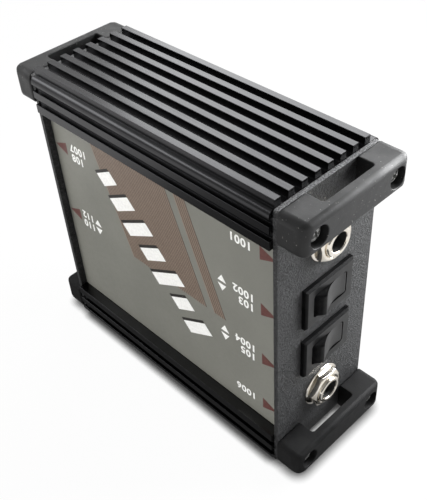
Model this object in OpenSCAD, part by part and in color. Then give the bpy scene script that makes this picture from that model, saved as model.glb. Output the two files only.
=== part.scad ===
// Passive direct injection box.
// Two finned side rails, two sheet covers and two end plates make the case, with a bumper on each rail end.
// Inside are a transformer on a circuit board, two phone jacks, three rocker switches and a three-pin output.
// Millimetres, +Z up. The box stands on its lower fins, which run along X, and its printed face looks to -Y.

/* [End plates] */
// Width of an end plate, across the box
plate_w = 42; // [40:0.5:48]
// Height of an end plate
plate_h = 106; // [102:1:120]
// Thickness of an end plate
plate_t = 1.5; // [1:0.1:2]
// Corner radius of an end plate
plate_r = 1; // [0.5:0.1:2]
// Play of a piece in the hole that it passes through, on the diameter
hole_play = 0.3; // [0.2:0.05:0.5]

/* [Side rails] */
// Length of the rails, between the end plates
rail_l = 103; // [98:1:140]
// Thickness of the rail's walls
rail_wall = 2; // [1.6:0.1:2.4]
// Number of fins on a rail
fin_count = 8; // [6:1:8]
// Height of a fin over the plate's edge
fin_h = 2.5; // [1.5:0.1:4]
// Thickness of a fin
fin_w = 2.3; // [1.6:0.1:3]
// Distance from fin to fin
fin_pitch = 5.15; // [4.6:0.05:5.3]
// How far the row of fins sits forward of the rail's middle
fin_shift = 1; // [0:0.1:1.2]
// How far the side ribs stand out past the plate's edge
rib_proud = 1.3; // [0.8:0.1:2]
// Radius of a rail's outer corners, over the topmost rib
rail_corner_r = 1.8; // [0.5:0.1:1.9]
// Height of a side rib
rib_w = 2.5; // [2:0.1:3]
// Height of the groove between two side ribs
rib_gap = 2.4; // [2:0.1:3]
// Depth of the groove between two side ribs
rib_depth = 1.6; // [1:0.1:2]
// Height of the lip over the cover
lip_w = 3.1; // [2.8:0.1:4]
// Thickness of the hook behind the cover
hook_t = 1.4; // [1:0.1:1.6]
// Outer diameter of a screw port
port_d = 6; // [5:0.1:6.4]
// Bore of a screw port
port_bore = 2.9; // [2.8:0.05:3.4]
// Thickness of a board guide
guide_t = 1.4; // [1:0.1:1.6]
// Height of a board guide
guide_h = 3; // [2:0.1:3.5]

/* [Covers] */
// Thickness of a sheet cover
cover_t = 1.5; // [1:0.1:2]
// Thickness of the printed overlay
label_t = 0.3; // [0.2:0.05:0.5]
// Depth of the overlay's face behind the side ribs
label_recess = 3.8; // [3:0.1:4.5]
// How far a cover reaches into a rail
cover_grip = 2.4; // [1.5:0.1:2.4]
// Play on each side of a sheet in its slot
slot_play = 0.1; // [0.05:0.05:0.2]
// Gap round the overlay
label_gap = 0.3; // [0.2:0.1:1]

/* [Bumpers] */
// How far a bumper stands out of the end plate
bumper_out = 9.8; // [8.8:0.1:14]
// Height of a bumper
bumper_h = 10.8; // [10:0.1:11.5]
// How far a bumper stands past the plate's long edges
bumper_side = 0.8; // [0:0.1:1.2]
// How far a bumper stands past the plate's short edge
bumper_rise = 0.3; // [0:0.1:1]
// Depth of the slot between bumper and plate
window_out = 6; // [4.6:0.1:6.5]
// Length of the slot between bumper and plate
window_l = 21; // [14:0.5:22]
// Corner radius in the slot
window_r = 1; // [0.5:0.1:1.5]
// Radius along a bumper's long outer edge
bumper_top_r = 1.8; // [1:0.1:3]
// Radius of a bumper's upright corners
bumper_corner_r = 3.5; // [1:0.1:4]
// Radius of a bumper's edge toward the panel
bumper_low_r = 1.7; // [0.4:0.1:2.5]
// Radius along the edges of a bumper's two ends
bumper_end_r = 1.7; // [1:0.1:2.5]
// Distance of a screw from the plate's long edge
screw_inset = 4.9; // [4.5:0.1:5.5]
// Distance of a screw from the plate's short edge
screw_drop = 5.4; // [4.8:0.1:5.6]
// Diameter of the well that holds a screw's head
well_d = 6.1; // [5.8:0.1:6.8]
// Depth of the well that holds a screw's head
well_depth = 4.4; // [4:0.1:6.5]

/* [Bumper screws] */
// Diameter of a screw's head
screw_head_d = 5.6; // [5:0.1:5.7]
// Height of a screw's head
screw_head_h = 2; // [1.6:0.1:2.4]
// Diameter of a screw's shank
screw_d = 2.7; // [2.4:0.05:2.75]
// Length of shank inside the rail
screw_bite = 9; // [5:0.5:16]

/* [Phone jacks] */
// Distance of a jack's axis from the plate's short edge
jack_edge = 21; // [20:0.1:22]
// Outer diameter of the jack's bushing
bush_d = 9.5; // [8.6:0.1:9.8]
// Bore of the jack's bushing
jack_bore = 6.4; // [6.2:0.05:6.6]
// How far the bushing stands out of the plate
bush_out = 4.1; // [3.7:0.1:6]
// How far the bushing reaches in behind its frame
bush_in = 2; // [1:0.1:4]
// Thickness of the jack's frame strip
frame_t = 1.2; // [0.8:0.1:1.6]
// Width of the frame's front
frame_w = 12; // [11:0.1:14]
// Distance of the frame's arm over the axis
arm_z = 9.2; // [8.4:0.1:10]
// Length of the frame's arm
arm_l = 22; // [21:0.5:26]
// Width of the frame's arm
arm_w = 9; // [7:0.1:10]
// Thickness of an insulating strip
strip_t = 1.2; // [0.8:0.1:1.4]
// Length of an insulating strip
strip_l = 8; // [7:0.1:9]
// Distance of the insulating strips from the end of the frame's arm
strip_inset = 2; // [0.5:0.1:4]
// Thickness of the tip spring
leaf_t = 0.4; // [0.3:0.05:0.6]
// Width of the tip spring
leaf_w = 5; // [4:0.1:6]
// Height of the tip spring's contact over the axis
leaf_touch = 2.5; // [2:0.1:2.8]
// Length of the tip spring's lug ahead of the strips
tip_lug = 5; // [4:0.1:6]
// Length of the tip spring behind the strips, as far as its bend
leaf_free = 0.6; // [0.4:0.1:1]
// Length of the tip spring from its bend down to its contact
leaf_slope = 6.8; // [6:0.1:7.5]
// Length of the tip spring's lifted end
leaf_end_l = 2.6; // [2:0.1:3]
// Rise of the tip spring's lifted end
leaf_lift = 1.6; // [1:0.1:2]
// Width of the frame's earth lug
lug_w = 3; // [2.4:0.1:3.6]
// Length of the frame's earth lug
lug_l = 9; // [7:0.1:10]
// Diameter of a rivet in the jack's stack
rivet_d = 1.6; // [1.2:0.1:2]
// Distance from rivet to rivet
rivet_pitch = 4.4; // [3.6:0.1:5]
// Diameter of a rivet's head
rivet_head_d = 2.6; // [2.2:0.1:3]
// Height of a rivet's head
rivet_head_h = 0.5; // [0.3:0.05:0.7]
// Size of the jack's nut across its flats
nut_af = 12.7; // [12:0.1:14]
// Thickness of the jack's nut
nut_t = 2.4; // [2:0.1:2.8]
// Diameter of the jack's washer
washer_d = 15.8; // [15:0.1:16.5]
// Thickness of the jack's washer
washer_t = 0.8; // [0.5:0.1:1]
// Turn in which the input jack's nut was tightened
input_nut_turn = 23; // [0:1:59]
// Turn in which the other jack's nut was tightened
thru_nut_turn = 6; // [0:1:59]

/* [Rocker switches] */
// Distance from one panel switch to the other
switch_pitch = 21.4; // [20.5:0.1:22]
// Distance of the far end's switch below the output connector
lift_drop = 28.5; // [26:0.1:32]
// Length of a switch's bezel, across the box
bezel_l = 21.2; // [20.8:0.1:24]
// Height of a switch's bezel
bezel_w = 15.5; // [15:0.1:18]
// Thickness of a switch's bezel
bezel_t = 1.9; // [1.5:0.1:2.4]
// Bevel round a switch's bezel
bezel_bevel = 0.7; // [0.3:0.1:0.9]
// Length of a switch's body, across the box
body_l = 18.8; // [18.6:0.1:19.6]
// Height of a switch's body
body_w = 12.8; // [12.4:0.1:13.4]
// Depth of a switch's body behind the plate's face
body_depth = 14; // [14:0.1:16]
// Thickness of a switch's end walls
body_wall = 0.7; // [0.5:0.05:0.8]
// Length of a switch's snap wing
wing_l = 3.4; // [3:0.1:4]
// How far a snap wing stands out
wing_out = 0.7; // [0.4:0.1:0.9]
// Thickness of a switch's floor
floor_t = 1.4; // [1:0.1:1.6]
// Length of the rocker's opening in the bezel
opening_l = 14.9; // [14:0.1:15.2]
// Height of the rocker's opening in the bezel
opening_w = 9.1; // [8.6:0.1:9.6]
// Gap round the rocker
rocker_gap = 0.25; // [0.2:0.01:0.35]
// Rounding at the ends of the rocker's opening
opening_round = 1.1; // [0.6:0.1:1.2]
// Depth of the rocker's pivot behind the bezel's face
pivot_depth = 5.9; // [5.4:0.1:6.2]
// Radius of the rocker's pivot
pivot_r = 1.4; // [1:0.1:1.6]
// Play round the pivot, on the radius
pivot_play = 0.08; // [0.05:0.01:0.1]
// How far a pivot reaches into the body's wall
pivot_reach = 1.1; // [0.8:0.1:1.2]
// Tilt of the rocker to each side of its middle
rocker_tilt = 11.3; // [9:0.1:11.5]
// Depth of the hollow in the rocker's face
face_sag = 1.25; // [0.6:0.05:1.4]
// Height of the rocker's lower edge over the pivot
skirt_low = 3.4; // [3.2:0.1:3.8]
// Radius of the rocker's hub
hub_r = 3; // [2.6:0.1:3.2]
// Radius of the spring plunger
plunger_r = 1.15; // [0.9:0.05:1.2]
// Play round the plunger, on the radius
plunger_play = 0.15; // [0.1:0.01:0.2]
// Depth of the plunger's rounded tip below the pivot
plunger_tip = 5.75; // [5.5:0.05:5.8]
// Top of the plunger below the pivot
plunger_top = 0.4; // [0.2:0.1:0.8]
// Top of the spring's bore over the pivot
spring_top = 2.6; // [2.2:0.1:2.8]
// Diameter of the spring's wire
spring_wire = 0.3; // [0.2:0.02:0.34]
// Turns of the spring
spring_turns = 4; // [3:1:4]
// Tilt of the contact to each side of its middle
contact_tilt = 9; // [7:0.1:9.5]
// Thickness of the rocking contact
contact_t = 0.6; // [0.4:0.05:0.7]
// Half length of the rocking contact
contact_reach = 5.6; // [5.2:0.1:5.8]
// Width of the rocking contact
contact_w = 4; // [3:0.1:5]
// Radius of the bead that the contact rocks on
bead_r = 0.5; // [0.4:0.05:0.55]
// Gap between touching switch pieces that move apart
contact_gap = 0.25; // [0.2:0.01:0.3]
// Radius of a contact button
button_r = 1; // [0.8:0.1:1.1]
// Thickness of a contact button
button_t = 0.35; // [0.2:0.05:0.4]
// Thickness of a terminal blade
blade_t = 0.8; // [0.6:0.05:1]
// Width of a terminal blade
blade_w = 4.8; // [4:0.1:6]
// Length of a terminal blade outside the body
blade_out = 7; // [5:0.1:8]
// Distance from the middle blade to an outer blade
blade_pitch = 6.2; // [5.8:0.1:6.6]

/* [Output connector] */
// Distance of the connector's axis from the plate's upper edge
xlr_edge = 26.3; // [26:0.1:28]
// Width of the flange
flange_w = 26; // [25:0.1:28]
// Height of the flange
flange_h = 31; // [30.5:0.1:32]
// Thickness of the flange
flange_t = 2.2; // [1.6:0.1:3]
// Corner radius of the flange
flange_r = 3; // [2:0.1:4]
// Outer diameter of the cup
cup_d = 21.4; // [20.6:0.1:22]
// Inner diameter of the cup
cup_bore = 16.2; // [15.8:0.1:16.6]
// Depth of the cup behind the plate's face
cup_depth = 18; // [17:0.1:20]
// Thickness of the ledge at the cup's back
ledge_t = 1.5; // [1:0.1:2]
// Opening of the ledge at the cup's back
ledge_d = 13; // [12.6:0.1:14]
// Thickness of the insert that holds the pins
insert_t = 5.5; // [4:0.1:6]
// Play round the insert, on the radius
insert_play = 0.1; // [0.05:0.01:0.15]
// Diameter of a pin
pin_d = 2.4; // [2.2:0.05:2.6]
// Diameter of the circle of pins
pin_circle = 9.6; // [9:0.1:9.8]
// Distance of the pins' tips behind the plate's face
pin_back = 1; // [0:0.1:2]
// Length of a pin behind the cup
pin_tail = 5; // [3:0.1:6]
// Diameter of a pin behind the cup
tail_d = 1.9; // [1.6:0.05:2.2]
// Spacing of the flange's screws across the box
flange_screw_y = 19; // [18.6:0.1:19.4]
// Spacing of the flange's screws in height
flange_screw_z = 24; // [23.6:0.1:24.4]
// Width of the keyway in the cup
key_w = 2.6; // [2:0.1:3]
// Depth of the keyway in the cup
key_depth = 1; // [0.6:0.1:1.4]

/* [Small screws] */
// Diameter of a small machine screw
small_d = 3; // [2.6:0.1:3]
// Head diameter of a small machine screw
small_head_d = 5.5; // [5:0.1:5.6]
// Head height of a small machine screw
small_head_h = 1.8; // [1.4:0.1:2.2]
// Nut of a small machine screw across its flats
small_nut_af = 5.5; // [5:0.1:5.6]
// Thickness of a small machine screw's nut
small_nut_t = 2.4; // [2:0.1:2.6]
// Length of a small machine screw past its nut
small_past = 1; // [0.5:0.1:2]

/* [Circuit board] */
// Thickness of the board
board_t = 1.6; // [1.2:0.1:2]
// Length of the board along the box
board_l = 52; // [48:1:54]
// Distance of the board's front face behind the box's middle
board_y = 9; // [8.6:0.1:9.4]

/* [Transformer] */
// Middle of the transformer along the box
core_x = -2; // [-3:0.1:0]
// Width of a lamination
core_w = 24; // [22:0.5:26]
// Height of a lamination over the board
core_h = 20; // [18:0.5:22]
// Thickness of the stack of laminations
core_stack = 10; // [8:0.5:11]
// Width of an outer leg of a lamination
core_leg = 4; // [3.4:0.1:4.4]
// Wall of the bobbin
bobbin_wall = 0.8; // [0.6:0.05:1]
// Play of the bobbin on the core
bobbin_play = 0.15; // [0.1:0.01:0.2]
// Depth of the winding over the bobbin's tube
winding_t = 2.6; // [1.6:0.1:2.6]
// Thickness of the transformer's clamp
clamp_t = 0.8; // [0.6:0.1:1]
// Length of a foot of the clamp
clamp_foot = 7; // [6.6:0.1:8]
// Diameter of a bobbin's lead pin
lead_d = 0.8; // [0.6:0.05:1]

/* [Small parts] */
// Length of a film capacitor
film_l = 10; // [8:0.1:12]
// Width of a film capacitor
film_w = 5; // [4:0.1:6]
// Height of a film capacitor
film_h = 8; // [6:0.1:10]
// Distance from one film capacitor to the next
film_pitch = 7.5; // [7:0.1:9]
// Diameter of a resistor
resistor_d = 2.4; // [1.8:0.1:2.8]
// Length of a resistor
resistor_l = 6.5; // [5:0.1:8]
// Height of a resistor's axis over the board
resistor_up = 1.8; // [1.6:0.1:2.4]
// Length of a resistor's lead along its axis
resistor_lead = 2; // [1.5:0.1:3]
// Distance from one resistor to the next
resistor_pitch = 4.5; // [4:0.1:5]
// Distance of the small parts from the transformer's stack
parts_clear = 17; // [15:0.1:18]
// Diameter of a hook-up wire
wire_d = 1.2; // [0.8:0.1:1.4]
// Distance of a jack's or connector's wires from the board's end
pad_in = 4; // [3:0.1:5]
// Distance of a switch's wires from the board's end
switch_pad_in = 2; // [1.5:0.1:2.5]
// Distance from one switch wire to the next on the board
pad_pitch = 3; // [2.6:0.1:3.4]
// Distance of a wire from the end of its lug
wire_inset = 1.2; // [1:0.1:1.5]

/* [Hidden] */
$fn = 48;
// How far a cutting shape runs past the face that it cuts
past = 1;
// Sides of a swept wire
wire_sides = 6;
// Steps along a hook-up wire
wire_steps = 9;
// Steps in a turn of a spring
turn_steps = 10;
// How strongly a wire keeps its direction at a tip lug, an earth lug, a blade, a pin and the board
tip_run = 8;
lug_run = 6;
blade_run = 5;
pin_run = 4;
board_run = [0, 5, 0];
// Shares of a screw's head: its crown, and the reach, width and floor of its cross
crown_share = 0.55;
cross_reach = 0.6;
cross_width = 0.18;
cross_floor = 0.4;
// Slope of the bevel on a nut's corners
nut_slope = 30;

// Levels and faces of the case
plate_in = rail_l / 2;
plate_out = plate_in + plate_t;
plate_top = fin_h + plate_h;
mid_z = fin_h + plate_h / 2;
rib_y = plate_w / 2 + rib_proud;
groove_y = rib_y - rib_depth;
wall_y = groove_y - rail_wall;
rib_step = rib_w + rib_gap;
side_h = 2 * rib_step + lip_w;
cover_y = rib_y - label_recess - label_t;
slot_out = cover_y + slot_play;
slot_in = cover_y - cover_t - slot_play;
slot_depth = cover_grip + slot_play;
screw_y = plate_w / 2 - screw_inset;
bumper_w = plate_w + 2 * bumper_side;
bumper_low = bumper_rise - bumper_h;
screw_hole = screw_d + hole_play;

// Places on the panels: height of each jack and of each switch, and the panel that carries the switch
jack_half = plate_h / 2 - jack_edge;
thru_z = mid_z + jack_half;
input_z = mid_z - jack_half;
xlr_z = plate_top - xlr_edge;
filter_z = mid_z + switch_pitch / 2;
pad_z = mid_z - switch_pitch / 2;
lift_z = xlr_z - lift_drop;
near_end = 0;
far_end = 180;

// Rocker switch, seen from its pivot
pivot_x = plate_out + bezel_t - pivot_depth;
pivot_in = pivot_x - plate_out;
swing_r = norm([opening_l / 2, pivot_depth]);
rocker_r = swing_r - rocker_gap;
rocker_w = opening_w - 2 * rocker_gap;
tip_angle = acos(pivot_depth / rocker_r) - rocker_tilt;
face_half = rocker_r * sin(tip_angle);
face_r = (face_half ^ 2 + face_sag ^ 2) / (2 * face_sag);
face_u = rocker_r * cos(tip_angle) - face_sag + face_r;
cavity_half = body_l / 2 - body_wall;
floor_u = -(body_depth - floor_t) - pivot_in;
back_u = -body_depth - pivot_in;
bore_r = plunger_r + plunger_play;
spring_r = plunger_r - spring_wire / 2;
contact_top = -plunger_tip - contact_gap;
contact_u = contact_top - contact_t;
button_v = contact_reach - button_r;
foot_t = contact_u - button_t - contact_reach * sin(contact_tilt) - contact_gap - floor_u;

// Jack, seen from the plate's inner face
strip_top = arm_z - frame_t;
leaf_top = strip_top - strip_t;
leaf_low = leaf_top - leaf_t;
strip_low = leaf_low - strip_t;
strip_end = strip_inset - arm_l;
strip_mid = strip_end + strip_l / 2;
lug_x = strip_end + strip_l + tip_lug;
lug_z = -bush_d / 2 - frame_t;
leaf_bend = strip_end - leaf_free;
leaf_tip = leaf_bend - leaf_slope;
leaf_end = leaf_tip - leaf_end_l;

// Circuit board and transformer
board_h = plate_h - 2 * rail_wall - 2 * slot_play;
core_y = board_y - core_h / 2;
core_mid = core_w - 4 * core_leg;
core_window = core_h - 2 * core_leg;
tube_x = core_mid / 2 + bobbin_play + bobbin_wall;
tube_z = core_stack / 2 + bobbin_play + bobbin_wall;
bobbin_h = core_window - 2 * bobbin_play;
spool_h = bobbin_h - 2 * bobbin_wall;
foot_x = core_w / 2 + clamp_t + clamp_foot / 2;
film_z = mid_z + core_stack / 2 + parts_clear;
resistor_z = mid_z - core_stack / 2 - parts_clear;

// Shapes and placements that several pieces share

// Extrudes a YZ outline along X, centred
module along_x(length) {
    rotate([90, 0, 90])
        linear_extrude(height = length, center = true)
            children();
}

// Extrudes an XZ outline along Y, centred
module along_y(length) {
    rotate([90, 0, 0])
        linear_extrude(height = length, center = true)
            children();
}

// Turns a shape made along Z so that it points out along X
module out_x() {
    rotate([0, 90, 0])
        children();
}

// Rectangle about the origin with round corners
module round_rect(w, h, r) {
    square([w - 2 * r, h], center = true);
    square([w, h - 2 * r], center = true);
    for (y = [-1, 1], z = [-1, 1])
        translate([y * (w / 2 - r), z * (h / 2 - r)])
            circle(r = r);
}

// What has to be cut off a square corner at the origin, in the quadrant of -x and -y, to round it
module corner_cut(r) {
    difference() {
        translate([-r, -r])
            square(r + past);
        translate([-r, -r])
            circle(r = r);
    }
}

// Pan head screw along X: the head stands out from the origin and the shank runs in
module pan_screw(head_d, head_h, shank_d, shank_l) {
    crown = crown_share * head_h;
    crown_r = ((head_d / 2) ^ 2 + crown ^ 2) / (2 * crown);
    slot_l = cross_reach * head_d;
    slot_w = cross_width * head_d;
    out_x()
        difference() {
            union() {
                intersection() {
                    cylinder(d = head_d, h = head_h);
                    translate([0, 0, head_h - crown_r])
                        sphere(r = crown_r);
                }
                translate([0, 0, -shank_l])
                    cylinder(d = shank_d, h = shank_l + head_h / 2);
            }
            for (turn = [0, 90])
                rotate([0, 0, turn])
                    translate([-slot_l / 2, -slot_w / 2, cross_floor * head_h])
                        cube([slot_l, slot_w, head_h]);
        }
}

// Hexagon nut along X, standing on the origin
module hex_nut(af, thickness, bore) {
    corner_d = af / cos(180 / 6);
    face_d = af - (corner_d - af) / 2;
    cone = thickness / tan(nut_slope);
    out_x()
        difference() {
            intersection() {
                cylinder(d = corner_d, h = thickness, $fn = 6);
                union() {
                    cylinder(d = corner_d + past, h = thickness / 2);
                    translate([0, 0, thickness / 2])
                        cylinder(d1 = face_d + cone, d2 = face_d, h = thickness / 2);
                }
            }
            translate([0, 0, -past])
                cylinder(d = bore, h = thickness + 2 * past);
        }
}

// Points on a circle round a path's point, square to the path
function ring(centre, along, r) =
    let (
        t = along / norm(along),
        side = cross(t, abs(t.z) < 0.8 ? [0, 0, 1] : [0, 1, 0]),
        a = side / norm(side),
        b = cross(t, a)
    )
    [for (i = [0 : wire_sides - 1])
        let (turn = 360 * i / wire_sides)
        centre + r * (cos(turn) * a + sin(turn) * b)];

// One closed tube along the points of a path, with its ends square to the two directions
module tube(path, d, first_dir, last_dir) {
    last = len(path) - 1;
    points = [for (i = [0 : last])
        each ring(path[i], i == 0 ? first_dir : i == last ? last_dir : path[i + 1] - path[i - 1], d / 2)];
    walls = [for (i = [0 : last - 1], j = [0 : wire_sides - 1])
        let (
            p = i * wire_sides + j,
            q = i * wire_sides + (j + 1) % wire_sides
        )
        each [[p, p + wire_sides, q], [q, p + wire_sides, q + wire_sides]]];
    ends = [for (j = [1 : wire_sides - 2])
        each [[0, j, j + 1], [last * wire_sides, last * wire_sides + j + 1, last * wire_sides + j]]];
    polyhedron(points = points, faces = concat(walls, ends), convexity = 4);
}

// Point at share s of the curve that leaves a along a_dir and reaches b along b_dir
function bend(a, a_dir, b, b_dir, s) =
    (1 - s) ^ 3 * a + 3 * (1 - s) ^ 2 * s * (a + a_dir) + 3 * (1 - s) * s ^ 2 * (b - b_dir) + s ^ 3 * b;

// Hook-up wire from a to b
module wire(a, a_dir, b, b_dir) {
    path = [for (i = [0 : wire_steps]) bend(a, a_dir, b, b_dir, i / wire_steps)];
    tube(path, wire_d, a_dir, b_dir);
}

// Puts a switch's pieces, made round the pivot, at their panel
module at_switch(z, turn) {
    rotate([0, 0, turn])
        translate([pivot_x, 0, z])
            children();
}

// Puts a jack's pieces, made from the plate's inner face, at their height
module at_jack(z) {
    translate([plate_in, 0, z])
        children();
}

// Puts the output connector's pieces, made from the plate's outer face, at the far end
module at_xlr() {
    rotate([0, 0, far_end])
        translate([plate_out, 0, xlr_z])
            children();
}

// Case

// Outline of one side of a rail, with ribs, cover slot and screw port. Zero height is the plate's edge.
module rail_side() {
    wall_h = side_h - slot_depth;
    translate([wall_y, -wall_h])
        square([rail_wall, wall_h]);
    for (i = [0, 1])
        translate([wall_y, -rib_w - i * rib_step])
            square([rib_y - wall_y, rib_w]);
    translate([slot_out, -side_h])
        square([rib_y - slot_out, lip_w]);
    translate([slot_in - hook_t, -side_h])
        square([hook_t, slot_depth + hook_t]);
    translate([slot_in - hook_t, -wall_h])
        square([groove_y - slot_in + hook_t, hook_t]);
    translate([screw_y, -screw_drop])
        circle(d = port_d);
    translate([screw_y, -screw_drop])
        square([groove_y - screw_y, screw_drop]);
}

// Outline of a rail: finned wall, two ribbed sides, board guides and bored screw ports
module rail_outline() {
    difference() {
        union() {
            translate([-groove_y, -rail_wall])
                square([2 * groove_y, rail_wall]);
            for (i = [0 : fin_count - 1])
                translate([(i - (fin_count - 1) / 2) * fin_pitch - fin_shift - fin_w / 2, -rail_wall / 2])
                    square([fin_w, fin_h + rail_wall / 2]);
            for (y = [board_y - slot_play - guide_t, board_y + board_t + slot_play])
                translate([y, -rail_wall - guide_h])
                    square([guide_t, guide_h + rail_wall / 2]);
            rail_side();
            mirror([1, 0])
                rail_side();
        }
        for (s = [0, 1])
            mirror([s, 0])
                translate([rib_y, 0])
                    corner_cut(rail_corner_r);
        for (y = [-screw_y, screw_y])
            translate([y, -screw_drop])
                circle(d = port_bore);
    }
}

module upper_rail() {
    color("#2b2c2e")
        translate([0, 0, plate_top])
            along_x(rail_l)
                rail_outline();
}

module lower_rail() {
    color("#2b2c2e")
        translate([0, 0, fin_h])
            mirror([0, 0, 1])
                along_x(rail_l)
                    rail_outline();
}

// Sheet cover held in the slots of both rails, with its outer face on the given side
module cover(side) {
    height = plate_h - 2 * side_h + 2 * cover_grip;
    translate([0, side * (cover_y - cover_t / 2), mid_z])
        cube([rail_l - 2 * slot_play, cover_t, height], center = true);
}

module front_cover() {
    color("#3a3b3c")
        cover(-1);
}

module rear_cover() {
    color("#3a3b3c")
        cover(1);
}

// Printed overlay on the front cover, between the rails' lips
module label_overlay() {
    height = plate_h - 2 * side_h - 2 * label_gap;
    color("#8a8a82")
        translate([0, -cover_y - label_t / 2, mid_z])
            cube([rail_l - 2 * label_gap, label_t, height], center = true);
}

// Blank of an end plate, with the holes of the bumper screws
module plate_blank() {
    difference() {
        round_rect(plate_w, plate_h, plate_r);
        for (y = [-1, 1], z = [-1, 1])
            translate([y * screw_y, z * (plate_h / 2 - screw_drop)])
                circle(d = screw_hole);
    }
}

// Cut-out of a rocker switch
module switch_cut() {
    square([body_l + hole_play, body_w + hole_play], center = true);
}

module input_end_plate() {
    color("#4c4d4f")
        translate([plate_in + plate_t / 2, 0, mid_z])
            along_x(plate_t)
                difference() {
                    plate_blank();
                    for (z = [-jack_half, jack_half])
                        translate([0, z])
                            circle(d = bush_d + hole_play);
                    for (z = [-switch_pitch / 2, switch_pitch / 2])
                        translate([0, z])
                            switch_cut();
                }
}

module output_end_plate() {
    color("#4c4d4f")
        translate([-plate_in - plate_t / 2, 0, mid_z])
            along_x(plate_t)
                difference() {
                    plate_blank();
                    translate([0, xlr_z - mid_z])
                        circle(d = cup_d + hole_play);
                    for (s = [-1, 1])
                        translate([-s * flange_screw_y / 2, xlr_z - mid_z + s * flange_screw_z / 2])
                            circle(d = small_d + hole_play);
                    translate([0, lift_z - mid_z])
                        switch_cut();
                }
}

// Bumper for the upper corner of the near end, with heights from the plate's edge
module bumper_block() {
    difference() {
        intersection() {
            translate([0, 0, bumper_low])
                linear_extrude(height = bumper_h)
                    difference() {
                        translate([0, -bumper_w / 2])
                            square([bumper_out, bumper_w]);
                        for (s = [0, 1])
                            mirror([0, s])
                                translate([bumper_out, bumper_w / 2])
                                    corner_cut(bumper_corner_r);
                    }
            along_y(bumper_w + past)
                difference() {
                    translate([0, bumper_low])
                        square([bumper_out, bumper_h]);
                    translate([bumper_out, bumper_rise])
                        corner_cut(bumper_top_r);
                    translate([bumper_out, bumper_low])
                        mirror([0, 1])
                            corner_cut(bumper_low_r);
                }
            along_x(2 * bumper_out + past)
                difference() {
                    translate([-bumper_w / 2, bumper_low])
                        square([bumper_w, bumper_h]);
                    for (s = [0, 1])
                        mirror([s, 0]) {
                            translate([bumper_w / 2, bumper_rise])
                                corner_cut(bumper_end_r);
                            translate([bumper_w / 2, bumper_low])
                                mirror([0, 1])
                                    corner_cut(bumper_end_r);
                        }
                }
        }
        translate([0, 0, bumper_low - past])
            linear_extrude(height = bumper_h + 2 * past)
                difference() {
                    translate([-past, -window_l / 2])
                        square([window_out + past, window_l]);
                    for (s = [0, 1])
                        mirror([0, s])
                            translate([window_out, window_l / 2])
                                corner_cut(window_r);
                }
        for (y = [-screw_y, screw_y])
            translate([0, y, -screw_drop])
                out_x() {
                    translate([0, 0, -past])
                        cylinder(d = screw_hole, h = bumper_out);
                    translate([0, 0, bumper_out - well_depth])
                        cylinder(d = well_d, h = well_depth + past);
                }
    }
}

// Puts something made for the upper corner of the near end at any of the four corners
module at_corner(end, low) {
    rotate([0, 0, end])
        translate([plate_out, 0, low ? fin_h : plate_top])
            mirror([0, 0, low ? 1 : 0])
                children();
}

module bumper(end, low) {
    color("#232425")
        at_corner(end, low)
            bumper_block();
}

module upper_input_bumper() {
    bumper(near_end, false);
}

module lower_input_bumper() {
    bumper(near_end, true);
}

module upper_output_bumper() {
    bumper(far_end, false);
}

module lower_output_bumper() {
    bumper(far_end, true);
}

module bumper_screws() {
    seat = bumper_out - well_depth;
    color("#303030")
        for (end = [near_end, far_end], low = [false, true], y = [-screw_y, screw_y])
            at_corner(end, low)
                translate([seat, y, -screw_drop])
                    pan_screw(screw_head_d, screw_head_h, screw_d, seat + plate_t + screw_bite);
}

// Phone jacks

// Frame bent from strip, with its bushing, arm and earth lug
module jack_frame(z) {
    front_low = lug_z;
    hole_y = lug_l - lug_w / 2;
    color("#c4c2bb")
        at_jack(z)
            difference() {
                union() {
                    translate([-frame_t, -frame_w / 2, front_low])
                        cube([frame_t, frame_w, arm_z - front_low]);
                    translate([-arm_l, -arm_w / 2, strip_top])
                        cube([arm_l, arm_w, frame_t]);
                    translate([-lug_l, -lug_w / 2, front_low])
                        cube([lug_l, lug_w, frame_t / 2]);
                    translate([-frame_t - bush_in, 0, 0])
                        out_x()
                            cylinder(d = bush_d, h = frame_t + bush_in + plate_t + bush_out);
                }
                translate([-frame_t - bush_in - past, 0, 0])
                    out_x()
                        cylinder(d = jack_bore, h = frame_t + bush_in + plate_t + bush_out + 2 * past);
                translate([-hole_y, 0, front_low - past])
                    cylinder(d = lug_w / 2, h = frame_t + past);
                rivet_holes();
            }
}

// Holes for the rivets through everything in the jack's stack
module rivet_holes() {
    for (s = [-1, 1])
        translate([strip_mid + s * rivet_pitch / 2, 0, strip_low - past])
            cylinder(d = rivet_d + hole_play, h = arm_z - strip_low + 2 * past);
}

// The two insulating strips that hold the tip spring off the arm
module jack_insulators(z) {
    color("#8d5a34")
        at_jack(z)
            difference() {
                for (low = [leaf_top, strip_low])
                    translate([strip_end, -arm_w / 2, low])
                        cube([strip_l, arm_w, strip_t]);
                rivet_holes();
            }
}

// Leaf spring that meets the plug's tip, with its solder lug toward the front
module jack_tip_spring(z) {
    touch = leaf_touch + leaf_t;
    lift = touch + leaf_lift;
    color("#b8a25a")
        at_jack(z)
            difference() {
                along_y(leaf_w)
                    polygon([
                        [lug_x, leaf_low], [lug_x, leaf_top], [leaf_bend, leaf_top],
                        [leaf_tip, touch], [leaf_end, lift],
                        [leaf_end, lift - leaf_t], [leaf_tip, leaf_touch], [leaf_bend, leaf_low]
                    ]);
                rivet_holes();
            }
}

// Rivets that clamp both jacks' stacks, with a head on each side
module jack_rivets() {
    grip = arm_z - strip_low;
    color("#b9b7b0")
        for (z = [input_z, thru_z], s = [-1, 1])
            at_jack(z)
                translate([strip_mid + s * rivet_pitch / 2, 0, strip_low]) {
                    cylinder(d = rivet_d, h = grip);
                    for (end = [-rivet_head_h, grip])
                        translate([0, 0, end])
                            cylinder(d = rivet_head_d, h = rivet_head_h);
                }
}

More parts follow.
